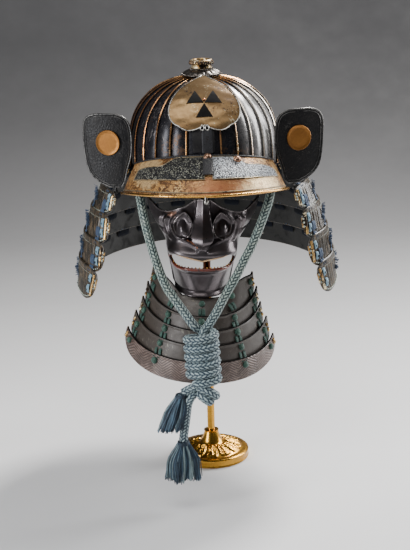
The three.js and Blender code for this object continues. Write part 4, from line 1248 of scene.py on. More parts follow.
def cord_routes():
    """The two cords: the left one winds the knot and the right one runs through it."""
    wound = helix(np.linspace(0, 1, 16 * 6))
    left = [*LEFT_STRAND, *wound, (-18, -203.5, 184.5), *SHORT_TAIL]
    lower = [
        (-8, -181, 248), (-10, -186, 226), (-9, -191, 202), (-14, -192, 190), (-17, -200, 183.5),
        (-9, -207, 181), (1, -207, 175.5), (7, -202, 169.5), (3, -195, 166.5), (-6, -192, 170),
        (-13, -195, 174), (-14, -202, 171.5), (-8, -207.5, 168), (-1, -206.5, 164), (-2.5, -200, 160.5),
        (-8, -195.5, 163), (-14.5, -196, 170),
    ]
    right = [*RIGHT_STRAND, *lower, *LONG_TAIL]
    return left, right


def braided(name, route, nodes):
    """A round braided silk cord along a route, its strands crossing in eight columns."""
    size = sizes()
    step_along = 0.95
    path = smooth_path(route, step_along)
    _, across, up = frames_along(path)
    sides, columns = 40, 8
    turn = full_turn(sides)
    along = (np.arange(len(path)) * step_along)[:, None]
    column = (turn / (2 * math.pi) * columns)[None, :]
    lane = np.floor(column)
    place = column - lane - 0.4
    slant = np.where(lane % 2 == 0, 1.0, -1.0)
    phase = along / size.braid_pitch * MM + slant * place * 0.9 + np.where(lane % 2 == 0, 0.0, 0.5)
    cover = np.abs(np.cos(math.pi * phase)) * (1 - (1.9 * place) ** 2 * 0.7)
    radius = size.cord_radius / MM * (0.84 + 0.19 * np.clip(cover, 0, 1) ** 0.5)
    thread = np.floor(phase + 0.5)
    dark = 1 - step(cover, 0.46, 0.72)
    dark = np.clip(dark + ((thread + lane) % 3 < 1) * 0.22, 0, 1)
    rings = (
        path[:, None] + (radius * np.cos(turn))[..., None] * across[:, None]
        + (radius * np.sin(turn))[..., None] * up[:, None]
    )
    piece = make(name, [(skin(rings), "braided silk")], 60)
    values = piece.data.attributes.new("braid", "FLOAT", "POINT")
    values.data.foreach_set("value", dark.ravel())
    fit(piece, "silk_cord", *nodes)
    path_length(path) * MM
    return piece


def hanging_tassel(name, node, head, tip, head_radius, wide, deep, seed):
    """A bound head of cord over a skirt of loose silk, its threads gathered in uneven locks."""
    rng = np.random.default_rng(seed)
    locks, count, steps = 54, 620, 8
    head, tip = np.array(head, float), np.array(tip, float)
    lock_turn = rng.uniform(0, 2 * math.pi, locks)
    lock_reach = np.sqrt(rng.uniform(0.10, 1, locks))
    lock_length = rng.uniform(0.84, 1.0, locks) - 0.06 * lock_reach**2
    lock_wave = rng.uniform(-1, 1, (locks, 3))
    lock_hue = rng.uniform(0, 1, locks)
    member = rng.integers(0, locks, count)
    turn = lock_turn[member] + rng.normal(0, 0.10, count)
    reach = np.clip(lock_reach[member] + rng.normal(0, 0.07, count), 0.02, 1.04)
    length = lock_length[member] + rng.uniform(-0.05, 0.03, count)
    hue = lock_hue[member] + rng.normal(0, 0.10, count)
    stray = rng.uniform(0, 1, count) ** 10
    lines = []
    for i in range(count):
        t = np.linspace(0.03, length[i], steps)
        grow = (0.80 * step(t, -0.05, 0.50) + 0.20 * t) * (1 + 0.22 * stray[i] * t)
        width = lerp(head_radius * 0.8, wide, grow) * reach[i]
        depth = lerp(head_radius * 0.8, deep, grow) * reach[i]
        wave = lock_wave[member[i]]
        bend = np.sin(t * 6.5 + 3 * wave[2]) * t * 2.0
        centre = head + (tip - head) * t[:, None]
        lines.append(np.stack([
            centre[:, 0] + width * math.sin(turn[i]) + wave[0] * bend,
            centre[:, 1] - depth * math.cos(turn[i]) + wave[1] * bend,
            centre[:, 2],
        ], -1))
    radius = sizes().tassel_thread / 2 / MM
    pieces = []
    for low, high, material in (
        (-9, 0.5, "navy tassel silk"), (0.5, 0.80, "blue tassel silk"), (0.80, 9, "pale tassel silk"),
    ):
        chosen = [line for line, value in zip(lines, hue) if low <= value < high]
        pieces.append(sweep(name + "_threads", chosen, radius, material, 4))
    tie_turn = np.linspace(0, 2 * math.pi * 3.2, 90)
    centre = head + (tip - head) * (0.02 + 0.022 * tie_turn / (2 * math.pi))[:, None]
    girth = head_radius * 0.98
    tie = centre + stacked(girth * np.sin(tie_turn), -girth * np.cos(tie_turn), 0)
    pieces.append(sweep(name + "_tie", [tie], 1.0, "navy tassel silk", 8))
    return fit(join(name, pieces), "silk_thread", node)


def make_chin_cord():
    short = hanging_tassel(
        "silk_tassel_short", "tassel_short", (-38.5, -198.3, 172.2), (-57.5, -200, 117), 7, 16.5, 11, 11,
    )
    long = hanging_tassel(
        "silk_tassel_long", "tassel_long", (-38.4, -188, 101), (-41, -189.5, 40), 7.2, 23, 13.5, 12,
    )
    left, right = cord_routes()
    braided("silk_cord_left", left, ("chin_cord_left", "knot_wrap", "cord_tail_short"))
    braided("silk_cord_right", right, ("chin_cord_right", "knot_lower", "cord_tail_long"))
    for side, word in SIDES:
        turn = np.linspace(0, 2 * math.pi, 40, endpoint=False)
        loop = stacked(side * (95 + 7 * np.cos(turn)), -56 + 3 * np.cos(turn), 431.9 + 6.4 * np.sin(turn))
        ring = make(f"iron_ring_{word}", [(tube(loop, 1.3, 10, closed=True), "blued iron")])
        fit(ring, "dark_iron", f"cord_ring_{word}")


# ---- bowl ------------------------------------------------------------------------------------


def bowl_share(rise, height):
    return np.sqrt(np.clip(1 - (np.clip(rise, 0, None) / height) ** BOWL["power"], 0, None))


def bowl_rings(turn, shares, heights, inset, bulge):
    """Rings round the bowl; each plate swells a little between its ribs."""
    pitch = 2 * math.pi / RIBS["count"]
    wrapped = (turn + math.pi) % (2 * math.pi) - math.pi
    across = np.where(np.abs(wrapped) < pitch, wrapped / pitch, 2 * ((turn / pitch) % 1) - 1)
    rings = []
    for share, z in zip(shares, heights):
        out = bulge * (1 - across**2) * min(1, share / 0.5)
        half_width = (BOWL["half_width"] - inset) * share + out
        rings.append(ring_at(half_width, turn, z, (BOWL["half_depth"] - inset) * share + out))
    return rings


def bowl_arch(meridian, height):
    """Heights over the floor along a line from the bowl's foot up to its crown."""
    return BOWL["base"] + height * np.sin(meridian) ** (2 / BOWL["power"])


def rib_flank(half, proud):
    return [(-half, -1.2), (half, -1.2), (half, proud - 0.5), (0, proud - 0.1), (-half, proud - 0.5)]


def rib_cap(half, proud):
    return [(-half - 0.15, proud - 0.75), (half + 0.15, proud - 0.75), (half + 0.1, proud - 0.1),
            (0, proud + 0.35), (-half - 0.1, proud - 0.1)]


def make_rib(section):
    """One rib over the front of the bowl, as wide as the panel says and lower towards the crown."""
    meridian = np.linspace(0, math.acos(RIBS["end_share"]), 34)
    radius = np.concatenate([[RIBS["reach"]], RIBS["reach"] * np.cos(meridian)])
    height = np.concatenate([[BOWL["foot"]], bowl_arch(meridian, BOWL["height"])])
    slope = np.gradient(np.stack([radius, height], -1), axis=0)
    slope /= np.linalg.norm(slope, axis=1)[:, None]
    proud = RIBS["height"] * np.clip(radius / RIBS["reach"] / 0.5, 0.45, 1)
    half = sizes().rib_width / 2 / MM
    return skin([
        [(x, -(radius[k] + slope[k][1] * out), height[k] - slope[k][0] * out)
         for x, out in section(half, proud[k])]
        for k in range(len(radius))
    ])


def make_bowl():
    turn = full_turn(RIBS["count"] * 10)
    meridian = np.linspace(0, math.acos(CROWN_HOLE / BOWL["half_width"]), 44)
    heights = bowl_arch(meridian, BOWL["height"])
    outer = bowl_rings(turn, [1, *np.cos(meridian)], [BOWL["foot"], *heights], 0, 1.7)
    meridian = np.linspace(math.acos(CROWN_HOLE / (BOWL["half_width"] - WALL)), 0, 26)
    heights = bowl_arch(meridian, BOWL["height"] - WALL)
    inner = bowl_rings(turn, [*np.cos(meridian), 1], [*heights, BOWL["foot"]], WALL, 0)
    pieces = [make("bowl_shell", [(skin(outer + inner, joined=True), "blued iron")], 50)]
    for label, section, material in (("flank", rib_flank, "blued iron"), ("cap", rib_cap, "rib gilding")):
        unit = make("rib." + label, [(make_rib(section), material)], 50)
        holder = put("ribs." + label, bpy.data.meshes.new("ribs." + label))
        pieces.append(run_tree(holder, rib_tree(), {
            "Rib": unit, "Count": RIBS["count"], "Half Width": float(BOWL["half_width"]),
            "Half Depth": float(BOWL["half_depth"]), "Reach": RIBS["reach"], "Finish": paint(material),
        }))
        bpy.data.objects.remove(unit)
    fit(join("ribbed_bowl", pieces), "dark_iron", "helmet_bowl")

    band_profile = ((440, 5.2), (440.8, 5.7), (448.6, 5.7), (449.5, 5.2), (449.5, 3.4), (440, 3.4))
    rings = [
        ring_at(BOWL["half_width"] + out, full_turn(160), z, BOWL["half_depth"] + out)
        for z, out in band_profile
    ]
    fit(make("iron_band", [(skin(rings, joined=True), "blued iron")]), "dark_iron", "bowl_band")


def petals(radius, height, turn):
    """Sixteen petals round the crown plate, on its upper side between two radii."""
    share = step(radius, 15.5, 19) * (1 - step(radius, 25, 27.5)) * (height > 572)
    return share * 1.3 * np.abs(np.cos(8 * turn)) ** 0.5


def make_crown():
    """The pierced plate, its beaded rows, chrysanthemum petals and the gilt ring on top."""
    profile = [
        (11, 572), (18, 571.5), (27, 569.8), (28, 570.6), (28, 571.3), (27.2, 572.2), (26, 573.2),
        (24, 574.3), (22, 575.2), (20, 576.0), (18, 576.9), (16.4, 577.8), (14.5, 578.4), (11, 578.4),
    ]
    shape = lathe(profile, 160, petals, joined=True)
    pieces = [make("crown.plate", [(shape, "crown silver")], 50)]
    for radius, height, count, size in ((27.4, 571.7, 56, 1.35), (15.8, 578.6, 34, 1.25)):
        turn = full_turn(count)
        pieces.append(set_on(
            "crown.beads", ball(1.0, 8, 5), ring_at(radius, turn, height), ring_at(0.5, turn, 0.9),
            stacked(np.cos(turn), np.sin(turn), 0), "crown silver", size=size,
        ))
    fit(join("crown_flower_plate", pieces), "silver_edge", "crown_plate")

    profile = [
        (10.5, 578.8), (13.6, 578.8), (14.2, 580.4), (14.0, 582.3), (12.9, 583.3), (13.4, 584.0),
        (15.4, 584.6), (16.5, 586.0), (16.6, 587.8), (16.0, 589.6), (15.0, 590.7), (12.6, 591.7),
        (11.2, 591.4), (10.5, 590.2),
    ]
    ring = make("crown.ring", [(lathe(profile, 96, joined=True), "worn gilding")], 50)
    turn = full_turn(26)
    beads = set_on(
        "crown.ring_beads", ball(1.0, 8, 5), ring_at(16.2, turn, 587.6), ring_at(1, turn, 0.2),
        stacked(np.cos(turn), np.sin(turn), 0), "crown bronze", size=1.5, stretch=(1.0, 1.9, 0.8),
    )
    fit(join("crown_gilt_ring", [ring, beads]), "gilt", "crown_ring")


# ---- visor -----------------------------------------------------------------------------------


def visor_point(u, v, lift=0.0):
    """u from the left end to the right, v from the joint with the bowl to the outer edge."""
    u, v = np.asarray(u, float), np.asarray(v, float)
    inner = np.radians(VISOR_ARC["joint"] * u)
    outer = np.radians(VISOR_ARC["edge"] * u)
    half = BOWL["half_width"] + RIBS["height"] + 1
    depth = BOWL["half_depth"] + RIBS["height"] + 1
    joint_z = lerp(VISOR["centre_joint"], VISOR["end_joint"], u * u)
    edge_z = lerp(VISOR["centre_edge"], VISOR["end_edge"], np.abs(u) ** 2.4)
    swell = 4 * np.sin(math.pi * v) * (1 - 0.5 * u * u)
    x = lerp(half * np.sin(inner), VISOR_ARC["half_width"] * np.sin(outer), v)
    y = lerp(-depth * np.cos(inner), VISOR_ARC["centre"] - VISOR_ARC["half_depth"] * np.cos(outer), v)
    return stacked(x, y - 0.7 * (swell + lift), lerp(joint_z, edge_z, v) + 0.7 * (swell + lift))


PANEL_LOW = 0.66


def panel_top(u):
    return 0.05 + 0.24 * step(u, 0.3, 0.5) + 0.22 * np.clip((u - 0.6) / 0.28, 0, None) ** 3


def make_visor_panel(side, word, start, end):
    """The grained leather and its piping on one side of the visor, between two shares of its length."""
    def surface(lift):
        def point(p, q):
            u = lerp(start, end, p)
            inside = np.minimum(np.minimum(q, 1 - q) * 14, np.minimum(p, 1 - p) * 40)
            edge_round = 1 - np.minimum(1, inside)
            drop = (lift - 0.7) * edge_round**2
            return visor_point(side * u, lerp(panel_top(u), PANEL_LOW, q), lift - drop)
        return point

    us, vs = np.linspace(0, 1, 100), np.linspace(0, 1, 44)
    panel = wall(surface(2.3), surface(0.75), us, vs)
    leather = make(f"panel.{word}", [(panel, f"{word} visor leather")], 50)
    along, down = np.linspace(start, end, 60), np.linspace(0, 1, 20)
    outline = [(u, panel_top(u)) for u in along]
    outline += [(end, lerp(panel_top(end), PANEL_LOW, q)) for q in down[1:]]
    outline += [(u, PANEL_LOW) for u in along[::-1][1:]]
    outline += [(start, lerp(PANEL_LOW, panel_top(start), q)) for q in down[1:-1]]
    loop = np.array([visor_point(side * u, v, 1.5) for u, v in outline])
    cord = make(f"piping.{word}", [(tube(loop, 0.7, 8, closed=True), "piping")], 60)
    fit(join(f"visor_leather_{word}", [leather, cord]), "black_leather", f"visor_panel_{word}")


def make_visor():
    us, vs = np.linspace(-1, 1, 150), np.linspace(0, 1, 34)
    sheet = wall(visor_point, lambda u, v: visor_point(u, v) - [0, 0, VISOR["thick"]], us, vs)
    finishes = ("visor leaf", "visor underside", "visor leaf")
    fit(make("visor_sheet", [(sheet, finishes)]), "leaf_lacquer", "visor")

    edge_u = np.linspace(-1, 1, 160)
    turn = np.radians(VISOR_ARC["edge"] * edge_u)
    line = visor_point(edge_u, 1.0) + stacked(2.6 * np.sin(turn), -2.6 * np.cos(turn), -1.4)
    rim = make("visor_rim.roll", [(tube(line, 1.9, 14), "gilding")], 60)
    under = visor_point(edge_u, 0.955, 0.7)
    wire = make("visor_rim.wire", [(tube(under, 0.9, 8), "piping")], 60)
    peg = lathe([(2.1, -9), (2.9, -7.5), (3.1, -5.5), (2.2, -4.2), (1.7, 0)], 16)
    peg.points += line[80] - [0, 0, 1.0]
    joint = visor_point(edge_u, 0.015, 1.0)
    roll = make("visor_rim.joint", [(tube(joint, 1.3, 8), "strap leather")], 60)
    pin = make("visor_rim.peg", [(peg, "silver trim")])
    fit(join("visor_gilt_rim", [rim, wire, roll, pin]), "gilt", "visor_rim")

    make_visor_panel(-1, "left", 0.0, 0.80)
    make_visor_panel(1, "right", 0.075, 0.86)

    strap_u = STRAP["x"] / (VISOR_ARC["half_width"] * 1.35)

    def strap(lift):
        def point(p, q):
            on = visor_point(strap_u, lerp(0.13, 0.56, q), lift - 0.8 * (2 * p - 1) ** 4)
            on[..., 0] = lerp(STRAP["x"] - STRAP["half"], STRAP["x"] + STRAP["half"], p)
            return on
        return point

    sheet = wall(strap(4.2), strap(2.8), np.linspace(0, 1, 14), np.linspace(0, 1, 30))
    fit(make("visor_middle_strap", [(sheet, "strap leather")]), "black_leather", "visor_strap")

    profile = [(0.01, 0), (5.2, 0), (5.2, 0.7), (4.4, 1.1), (4.0, 2.2), (2.9, 3.2), (1.4, 3.8), (0.01, 3.9)]
    for name, place, out, node in (
        ("rivet_dome_centre", (5, -126.8, 477.2), (0, -0.9, 0.5), "rivet_centre"),
        ("rivet_dome_right", (44, -121.6, 471.6), (0.3, -0.9, 0.5), "rivet_right"),
    ):
        dome = set_at(lathe(profile, 32), place, out)
        fit(make(name, [(dome, "rivet copper")]), "gilt", node)


# ---- crest -----------------------------------------------------------------------------------


def crest_point(x, s, out):
    """x across, s from the lobes to the tip, out along the plate's own facing."""
    foot, bend, tip = CREST["foot"], CREST["bend"], CREST["tip"]
    s = np.asarray(s, float)

    def mix(i):
        return (1 - s) ** 2 * foot[i] + 2 * s * (1 - s) * bend[i] + s * s * tip[i]

    def slope(i):
        return 2 * (1 - s) * (bend[i] - foot[i]) + 2 * s * (tip[i] - bend[i])

    length = np.hypot(slope(0), slope(1))
    curl = 0.0022 * x * x
    proud = out - curl
    return stacked(
        CREST["narrow"] * x + CREST["aside"], mix(0) - slope(1) / length * proud,
        mix(1) + slope(0) / length * proud,
    )


def crest_lobe(x):
    a = np.abs(x)
    return np.where(a < 22, 7 * (1 - a / 22) ** 2, 5 * ((a - 22) / 12) ** 2)


def crest_outline(u, v):
    half = eased(CREST_HALF, "s", v, "half")
    rise = crest_lobe(34 * u) * (1 - v) ** 5 / CREST["length"]
    return half * u, np.minimum(1, v + rise)


def crest_edge(inset, out, count=60):
    """The crest's outline, closed, drawn in by an inset."""
    v = np.linspace(0, 1, count)
    u = np.linspace(-1, 1, count)
    x_side, s_side = crest_outline(1.0, v)
    x_foot, s_foot = crest_outline(u, 0 * u)
    x = np.concatenate([x_foot, x_side[1:], -x_side[::-1][:-1]])[:-1]
    s = np.concatenate([s_foot, s_side[1:], s_side[::-1][:-1]])[:-1]
    centre_s = 0.42
    flat = np.stack([x, (s - centre_s) * CREST["length"]], -1)
    toward = -flat / np.linalg.norm(flat, axis=1)[:, None]
    flat = flat + toward * inset
    return crest_point(flat[:, 0], np.clip(flat[:, 1] / CREST["length"] + centre_s, 0, 1), out)


def crest_leaf(x, foot, out, grow):
    """A surface over one triangle of the crest, grown or drawn in all round."""
    side = CREST["leaf"]
    height = side * math.sqrt(0.75)

    def point(u, v):
        half = lerp(side / 2 + 1.0 * grow, 0.3 + 0.6 * grow, v)
        rise = foot - 0.7 * grow + (height + 1.4 * grow) * v
        return crest_point(x + half * u, rise / CREST["length"], out)
    return point


def make_crest():
    def surface(out):
        def point(u, v):
            x, s = crest_outline(u, v)
            dish = 0.5 * np.sin(x / 7.0) * np.sin(s * 40) * 0.5
            return crest_point(x, s, out + dish * (out == 0))
        return point

    us, vs = np.linspace(-1, 1, 60), np.linspace(0, 1, 60)
    sheet = wall(surface(0), surface(-CREST["thick"]), us, vs)
    plate = make("crest.plate", [(sheet, "tarnished crest")], 40)
    border = tube(crest_edge(0.7, -0.6), 1.3, 10, closed=True, flat=0.75)
    rim = make("crest.rim", [(border, "silver trim")], 60)
    loops = []
    for side in (-1, 1):
        t = np.linspace(0, 2 * math.pi, 30, endpoint=False)
        x = side * (3.4 + 2.6 * np.cos(t))
        s = 0.035 + 0.032 * np.sin(t)
        loop = crest_point(x, s, 1.2 + 0.6 * np.sin(t))
        loops.append((tube(loop, 0.65, 6, closed=True), "silver trim"))
    wire = make("crest.wire", loops, 60)
    pin = ball(2.0, 12, 7, (1, 1, 0.7))
    pin.points += crest_point(np.array(0.0), np.array(44.5 / CREST["length"]), 1.6)
    knob = make("crest.pin", [(pin, "copper")])
    fit(join("crest_plate", [plate, rim, wire, knob]), "tarnished_silver", "crest")

    grid = np.linspace(-1, 1, 12), np.linspace(0, 1, 12)
    for word, x, foot in (("left", -12.6, 40), ("right", 12.6, 40), ("lower", 0, 18)):
        border = wall(crest_leaf(x, foot, 0.6, 0.35), crest_leaf(x, foot, 0.2, 0.35), *grid)
        field = wall(crest_leaf(x, foot, 1.1, -0.2), crest_leaf(x, foot, 0.3, 0.0), *grid)
        piece = make(f"crest_leaf_{word}", [(border, "tarnished crest"), (field, "triangle lacquer")])
        fit(piece, "black_lacquer", f"crest_triangle_{word}")

    for name, iron, x, half, lift, low, high, node in (
        ("crest_iron_strap", "strap iron", 0, 14.5, 1.2, 482, 538, "front_strap"),
        ("crest_iron_bracket", "bracket steel", STRAP["x"], STRAP["half"], 2.8, 481, 512, "crest_bracket"),
    ):
        def lying(out):
            def point(p, q):
                z = lerp(low, high, q)
                front = -BOWL["half_depth"] * bowl_share(z - BOWL["base"], BOWL["height"])
                y = front - out + 0.5 * (2 * p - 1) ** 6
                return stacked(lerp(x - half, x + half, p), y, z + 0.3 * out * step(z, 500, 560))
            return point

        sheet = wall(lying(lift + 1.3), lying(lift), np.linspace(0, 1, 20), np.linspace(0, 1, 40))
        fit(make(name, [(sheet, iron)]), "dark_iron", node)


# ---- ear plates ------------------------------------------------------------------------------


def ear_point(side, q, rise, out):
    """q from the disc towards the helmet, rise over the disc, out to the front."""
    y = EAR["y"] - EAR["sweep"] * q + 0.0035 * q * q - 2
    return stacked(side * (EAR["x"] - q), y - out, EAR["z"] + rise)


def ear_outline(reach, count=44):
    rises = EAR_ROWS["rise"]
    fine = np.linspace(rises[0], rises[-1], count)
    up = np.stack([eased(EAR_ROWS, "rise", fine, "inner"), fine], -1)
    down = np.stack([eased(EAR_ROWS, "rise", fine, "outer"), fine], -1)[::-1]
    loop = np.concatenate([up, down])
    onward = np.roll(loop, -1, 0) - np.roll(loop, 1, 0)
    onward /= np.linalg.norm(onward, axis=1)[:, None]
    return loop + reach * np.stack([onward[:, 1], -onward[:, 0]], -1)


def make_ear_plate(side, word):
    """A turned-back plate with its rim, wire and stud, and the gilt disc on it."""
    def surface(out):
        def point(u, v):
            rise = lerp(EAR_ROWS["rise"][0], EAR_ROWS["rise"][-1], v)
            inner = eased(EAR_ROWS, "rise", rise, "inner")
            outer = eased(EAR_ROWS, "rise", rise, "outer")
            return ear_point(side, lerp(outer, inner, u), rise, out)
        return point

    sheet = wall(surface(0.3), surface(-EAR["thick"]), np.linspace(0, 1, 36), np.linspace(0, 1, 60))
    plate = make(f"ear.{word}", [(sheet, "ear leather")], 50)
    fit(plate, "black_leather", f"ear_plate_{word}")
    plate.name = f"ear_leather_{word}"

    line = ear_outline(1.2)
    loop = ear_point(side, line[:, 0], line[:, 1], -EAR["thick"] / 2 + 0.4)
    roll = make(f"ear_rim.{word}", [(tube(loop, 1.35, 10, closed=True), "ear edging")], 60)
    inner_line = ear_outline(-1.9)
    fine = ear_point(side, inner_line[:, 0], inner_line[:, 1], 0.5)
    wire = make(f"ear_wire.{word}", [(tube(fine, 0.45, 6, closed=True), "ear edging")], 60)
    foot = lathe([(1.6, -11), (2.6, -9.5), (2.9, -7), (1.8, -5.2), (1.5, -1)], 14)
    foot.points += ear_point(side, 8.0, -61.0, -1.2)
    stud = make(f"ear_foot.{word}", [(foot, "ear edging")])
    fit(join(f"ear_silver_{word}", [roll, wire, stud]), "silver_edge", f"ear_rim_{word}")

    radius = EAR["disc"]
    profile = [
        (0.01, 0), (radius, 0), (radius + 0.2, 0.8), (radius, 1.5), (radius - 0.7, 2.1),
        (radius - 1.3, 2.1), (radius - 1.9, 1.7), (radius - 5, 1.6), (radius - 9, 1.7),
        (radius - 13, 1.8), (0.01, 1.85),
    ]
    disc = set_at(lathe(profile, 72), ear_point(side, 0.0, 0.0, 0.7), (side * EAR["sweep"], -1, 0))
    fit(make(f"ear_gilt_disc_{word}", [(disc, "matte gilding")], 40), "gilt", f"ear_disc_{word}")


def make_ear_plates():
    for side, word in SIDES:
        make_ear_plate(side, word)


# ---- neck guard ------------------------------------------------------------------------------


def neck_edge(row, u, inset):
    """One edge of the neck guard; u runs from the left front end, past the back, to the right."""
    edge = {key: values[row] for key, values in NECK_EDGES.items()}
    end_turn = math.pi - math.asin(edge["end_x"] / edge["half"])
    front = edge["end_y"] / math.cos(end_turn)
    turn = end_turn * u
    depth = np.where(np.cos(turn) > 0, edge["half"] + BACK_EXTRA, front)
    droop = np.abs(u) ** 2.2
    return stacked(
        (edge["half"] - inset) * np.sin(turn), (depth - inset) * np.cos(turn),
        lerp(edge["back"], edge["end"], droop),
    )


def neck_point(number, u, v, inset=0.0):
    corner = 0 if number == 1 else 0.42
    q = np.clip((np.abs(u) - 0.92) / 0.08, 0, 1)
    bend = 1 - np.sqrt(np.clip(1 - q * q, 0, 1))
    t = lerp(0.6 * corner * bend, 1 - corner * bend, v)[..., None]
    return lerp(neck_edge(2 * number - 2, u, inset), neck_edge(2 * number - 1, u, inset), t)


def neck_facing(number, u, v):
    """Outward facing and forward direction of a neck plate at a point."""
    before, after = np.clip(u - 1e-3, -1, 1), np.clip(u + 1e-3, -1, 1)
    above, below = np.clip(v - 0.01, 0, 1), np.clip(v + 0.01, 0, 1)
    p = neck_point(number, u, v)
    along = neck_point(number, after, v) - neck_point(number, before, v)
    down = neck_point(number, u, below) - neck_point(number, u, above)
    out = np.cross(down, along)
    out /= np.linalg.norm(out, axis=-1, keepdims=True)
    flip = np.sign((out[..., 0] * p[..., 0] + out[..., 1] * p[..., 1]))[..., None]
    along = along / np.linalg.norm(along, axis=-1, keepdims=True)
    return out * flip, along


def even_u(number, v, pitch, end=0.985):
    """Values of u an even distance apart along a neck plate, as far as its ends or a little short."""
    fine = np.linspace(-end, end, 1200)
    reach = distance_along(neck_point(number, fine, np.full_like(fine, v)))
    count = max(3, round(reach[-1] / pitch))
    return np.interp(np.linspace(0, reach[-1], count + 1), reach, fine)


def lacing_loop(half, tall, thick):
    """A short flat band of silk, standing proud in the middle and tucked in at both ends."""
    t = np.linspace(-1, 1, 9)
    rings = []
    for k in t:
        lift = thick + 1.6 * (1 - k * k) ** 0.5
        wide = half * (0.86 + 0.14 * (1 - k * k))
        rings.append([
            (-wide, tall * k, lift - thick), (-wide * 0.8, tall * k, lift), (0, tall * k, lift + 0.35),
            (wide * 0.8, tall * k, lift), (wide, tall * k, lift - thick),
        ])
    return skin(rings)


def on_neck(name, part, number, u, v, lift, material, drop=0.0, inside=False, **more):
    """One small part on many places of a neck plate, standing lift above its face."""
    v = 0 * u + v
    out, along = neck_facing(number, u, v)
    places = neck_point(number, u, v + drop, -lift)
    return set_on(name, part, places, -out if inside else out, along, material, **more)


def make_neck_plate(number):
    """One lame: its sheet of scales, rims, stitches, lacing, front ends and frayed sides."""
    size = sizes()
    pitch = size.scale_pitch / MM
    corner = np.linspace(0.92, 1, 12)
    us = np.unique(np.concatenate([np.linspace(-1, 1, 470), corner, -corner]))
    reach = distance_along(neck_point(number, us, 0 * us + 0.5))

    def outer(u, v):
        scale = np.abs(np.sin(math.pi * np.interp(u, us, reach) / pitch)) ** 0.6
        lip = 0.9 * bump((v - 0.04) / 0.05) + 0.5 * bump((v - 0.97) / 0.03)
        tall = step(v, 0.10, 0.2) * (1 - step(v, 0.84, 0.92))
        return neck_point(number, u, v, -(0.15 + 1.5 * (scale - 0.6) * tall + lip))

    sheet = wall(outer, lambda u, v: neck_point(number, u, v, WALL - 0.3), us, np.linspace(0, 1, 13))
    pieces = [make(f"neck.{number}", [(sheet, ("scale lacquer", "lame lining", "scale lacquer"))], 50)]
    for v, radius in ((0.0, 1.2), (1.0, 1.15)):
        line = neck_point(number, us[::3], 0 * us[::3] + v, 0.9)
        pieces.append(make("neck.edge", [(tube(line, radius, 8), "scale lacquer")], 60))
    pieces += neck_front_ends(number)
    for v, lift, bead, spacing in ((0.93, 1.2, 1.2, 4.2), (0.16, 0.9, 0.55, 3.6)):
        pieces.append(on_neck(
            "neck.stitch", ball(1.0, 6, 4), number, even_u(number, v, spacing), v, lift, "pale stitching",
            stretch=(1.3, 0.9, 0.9), size=bead, vary=0.2, seed=number,
        ))
    if number < 5:
        u = even_u(number, 0.62, size.lacing_pitch / MM, 0.93)
        pair = np.concatenate([u - 0.0075, u + 0.0075])
        for v, tall in ((0.62, 7.0), (0.90, 4.2)):
            pieces.append(on_neck(
                "neck.lacing", lacing_loop(2.6, tall, 0.5), number, pair, v, 0.5, "blue lacing", vary=0.08,
                seed=number,
            ))
        below = neck_point(number + 1, pair, 0 * pair + 0.06, -0.3)
        above = neck_point(number, pair, 0 * pair + 1.0, 1.6)
        bands = [lerp(a, b, np.linspace(0, 1, 5)[:, None]) for a, b in zip(above, below)]
        pieces.append(sweep("neck.hang", bands, 1.9, "blue lacing", 6))
    pieces += neck_tufts(number)
    fit(join(f"laced_neck_plate_{number}", pieces), "lame_lacquer", f"neck_lame_{number}")


def make_neck_guard():
    for number in range(1, 6):
        make_neck_plate(number)
    make_neck_insides()


def neck_front_ends(number):
    """Gilt bands down both front ends, beside a column of pale blue loops with dark eyes."""
    pieces = []
    for side in (-1, 1):
        v = np.linspace(0.02, 0.98, 24)
        line = neck_point(number, 0 * v + side, v, 0.9)
        pieces.append(make("neck.end", [(tube(line, 1.5, 8), "worn gilding")], 60))
        band = neck_point(number, 0 * v + side * 0.986, v, -1.0)
        pieces.append(make("neck.band", [(tube(band, 2.0, 8), "worn gilding")], 60))
        at = number, np.full(2, side * 0.962), np.array([0.28, 0.66])
        loop = lacing_loop(3.2, 6.0, 0.6)
        pieces.append(on_neck("neck.loop", loop, *at, 0.8, "sky lacing", vary=0.1, seed=number))
        eye = ball(1.0, 8, 5, (1.3, 2.2, 0.5))
        pieces.append(on_neck("neck.eye", eye, *at, 3.0, "navy lacing", drop=0.02))
    return pieces


def neck_tufts(number):
    """Frayed blue silk standing off the sides of the neck guard."""
    rng = np.random.default_rng(40 + number)
    lines = []
    for side in (-1, 1):
        for spot in (0.70, 0.80):
            root = neck_point(number, np.array(side * spot), np.array(0.42), -1.0)
            out, along = neck_facing(number, np.array([side * spot]), np.array([0.42]))
            for _ in range(34):
                start = root + along[0] * rng.uniform(-4, 4) + np.array([0, 0, rng.uniform(-7, 7)])
                lean = out[0] * rng.uniform(2.2, 5.0) + along[0] * rng.uniform(-2, 2)
                lean = lean + np.array([0, 0, rng.uniform(-3.5, 1.5)])
                middle = start + lean * 0.6 + rng.uniform(-0.8, 0.8, 3)
                lines.append(np.array([start, middle, start + lean]))
    return [sweep("neck.tuft", lines, 0.42, "blue lacing", 4)]


def make_neck_insides():
    """Dark lacing that shows inside the neck guard, and the knots at its front ends."""
    pieces = []
    for number in range(1, 6):
        pieces.append(on_neck(
            "inside.patch", lacing_loop(13.0, 6.5, 0.5), number, even_u(number, 0.30, 42.0, 0.93), 0.30,
            -(WALL + 0.5), "navy lacing", inside=True, vary=0.3, seed=number,
        ))
        for side in (-1, 1):
            high = np.linspace(0.12, 0.88, 3)
            tips = neck_point(number, np.full(3, side * 1.0), high, -1.0)
            out, along = neck_facing(number, np.full(3, side * 0.99), high)
            knob = ball(1.0, 10, 6)
            pieces.append(set_on("inside.knob", knob, tips, out, along, "pale stitching", size=1.8, vary=0.2))
    fit(join("neck_guard_end_lacing", pieces), "silk_cord")


# ---- face mask -------------------------------------------------------------------------------


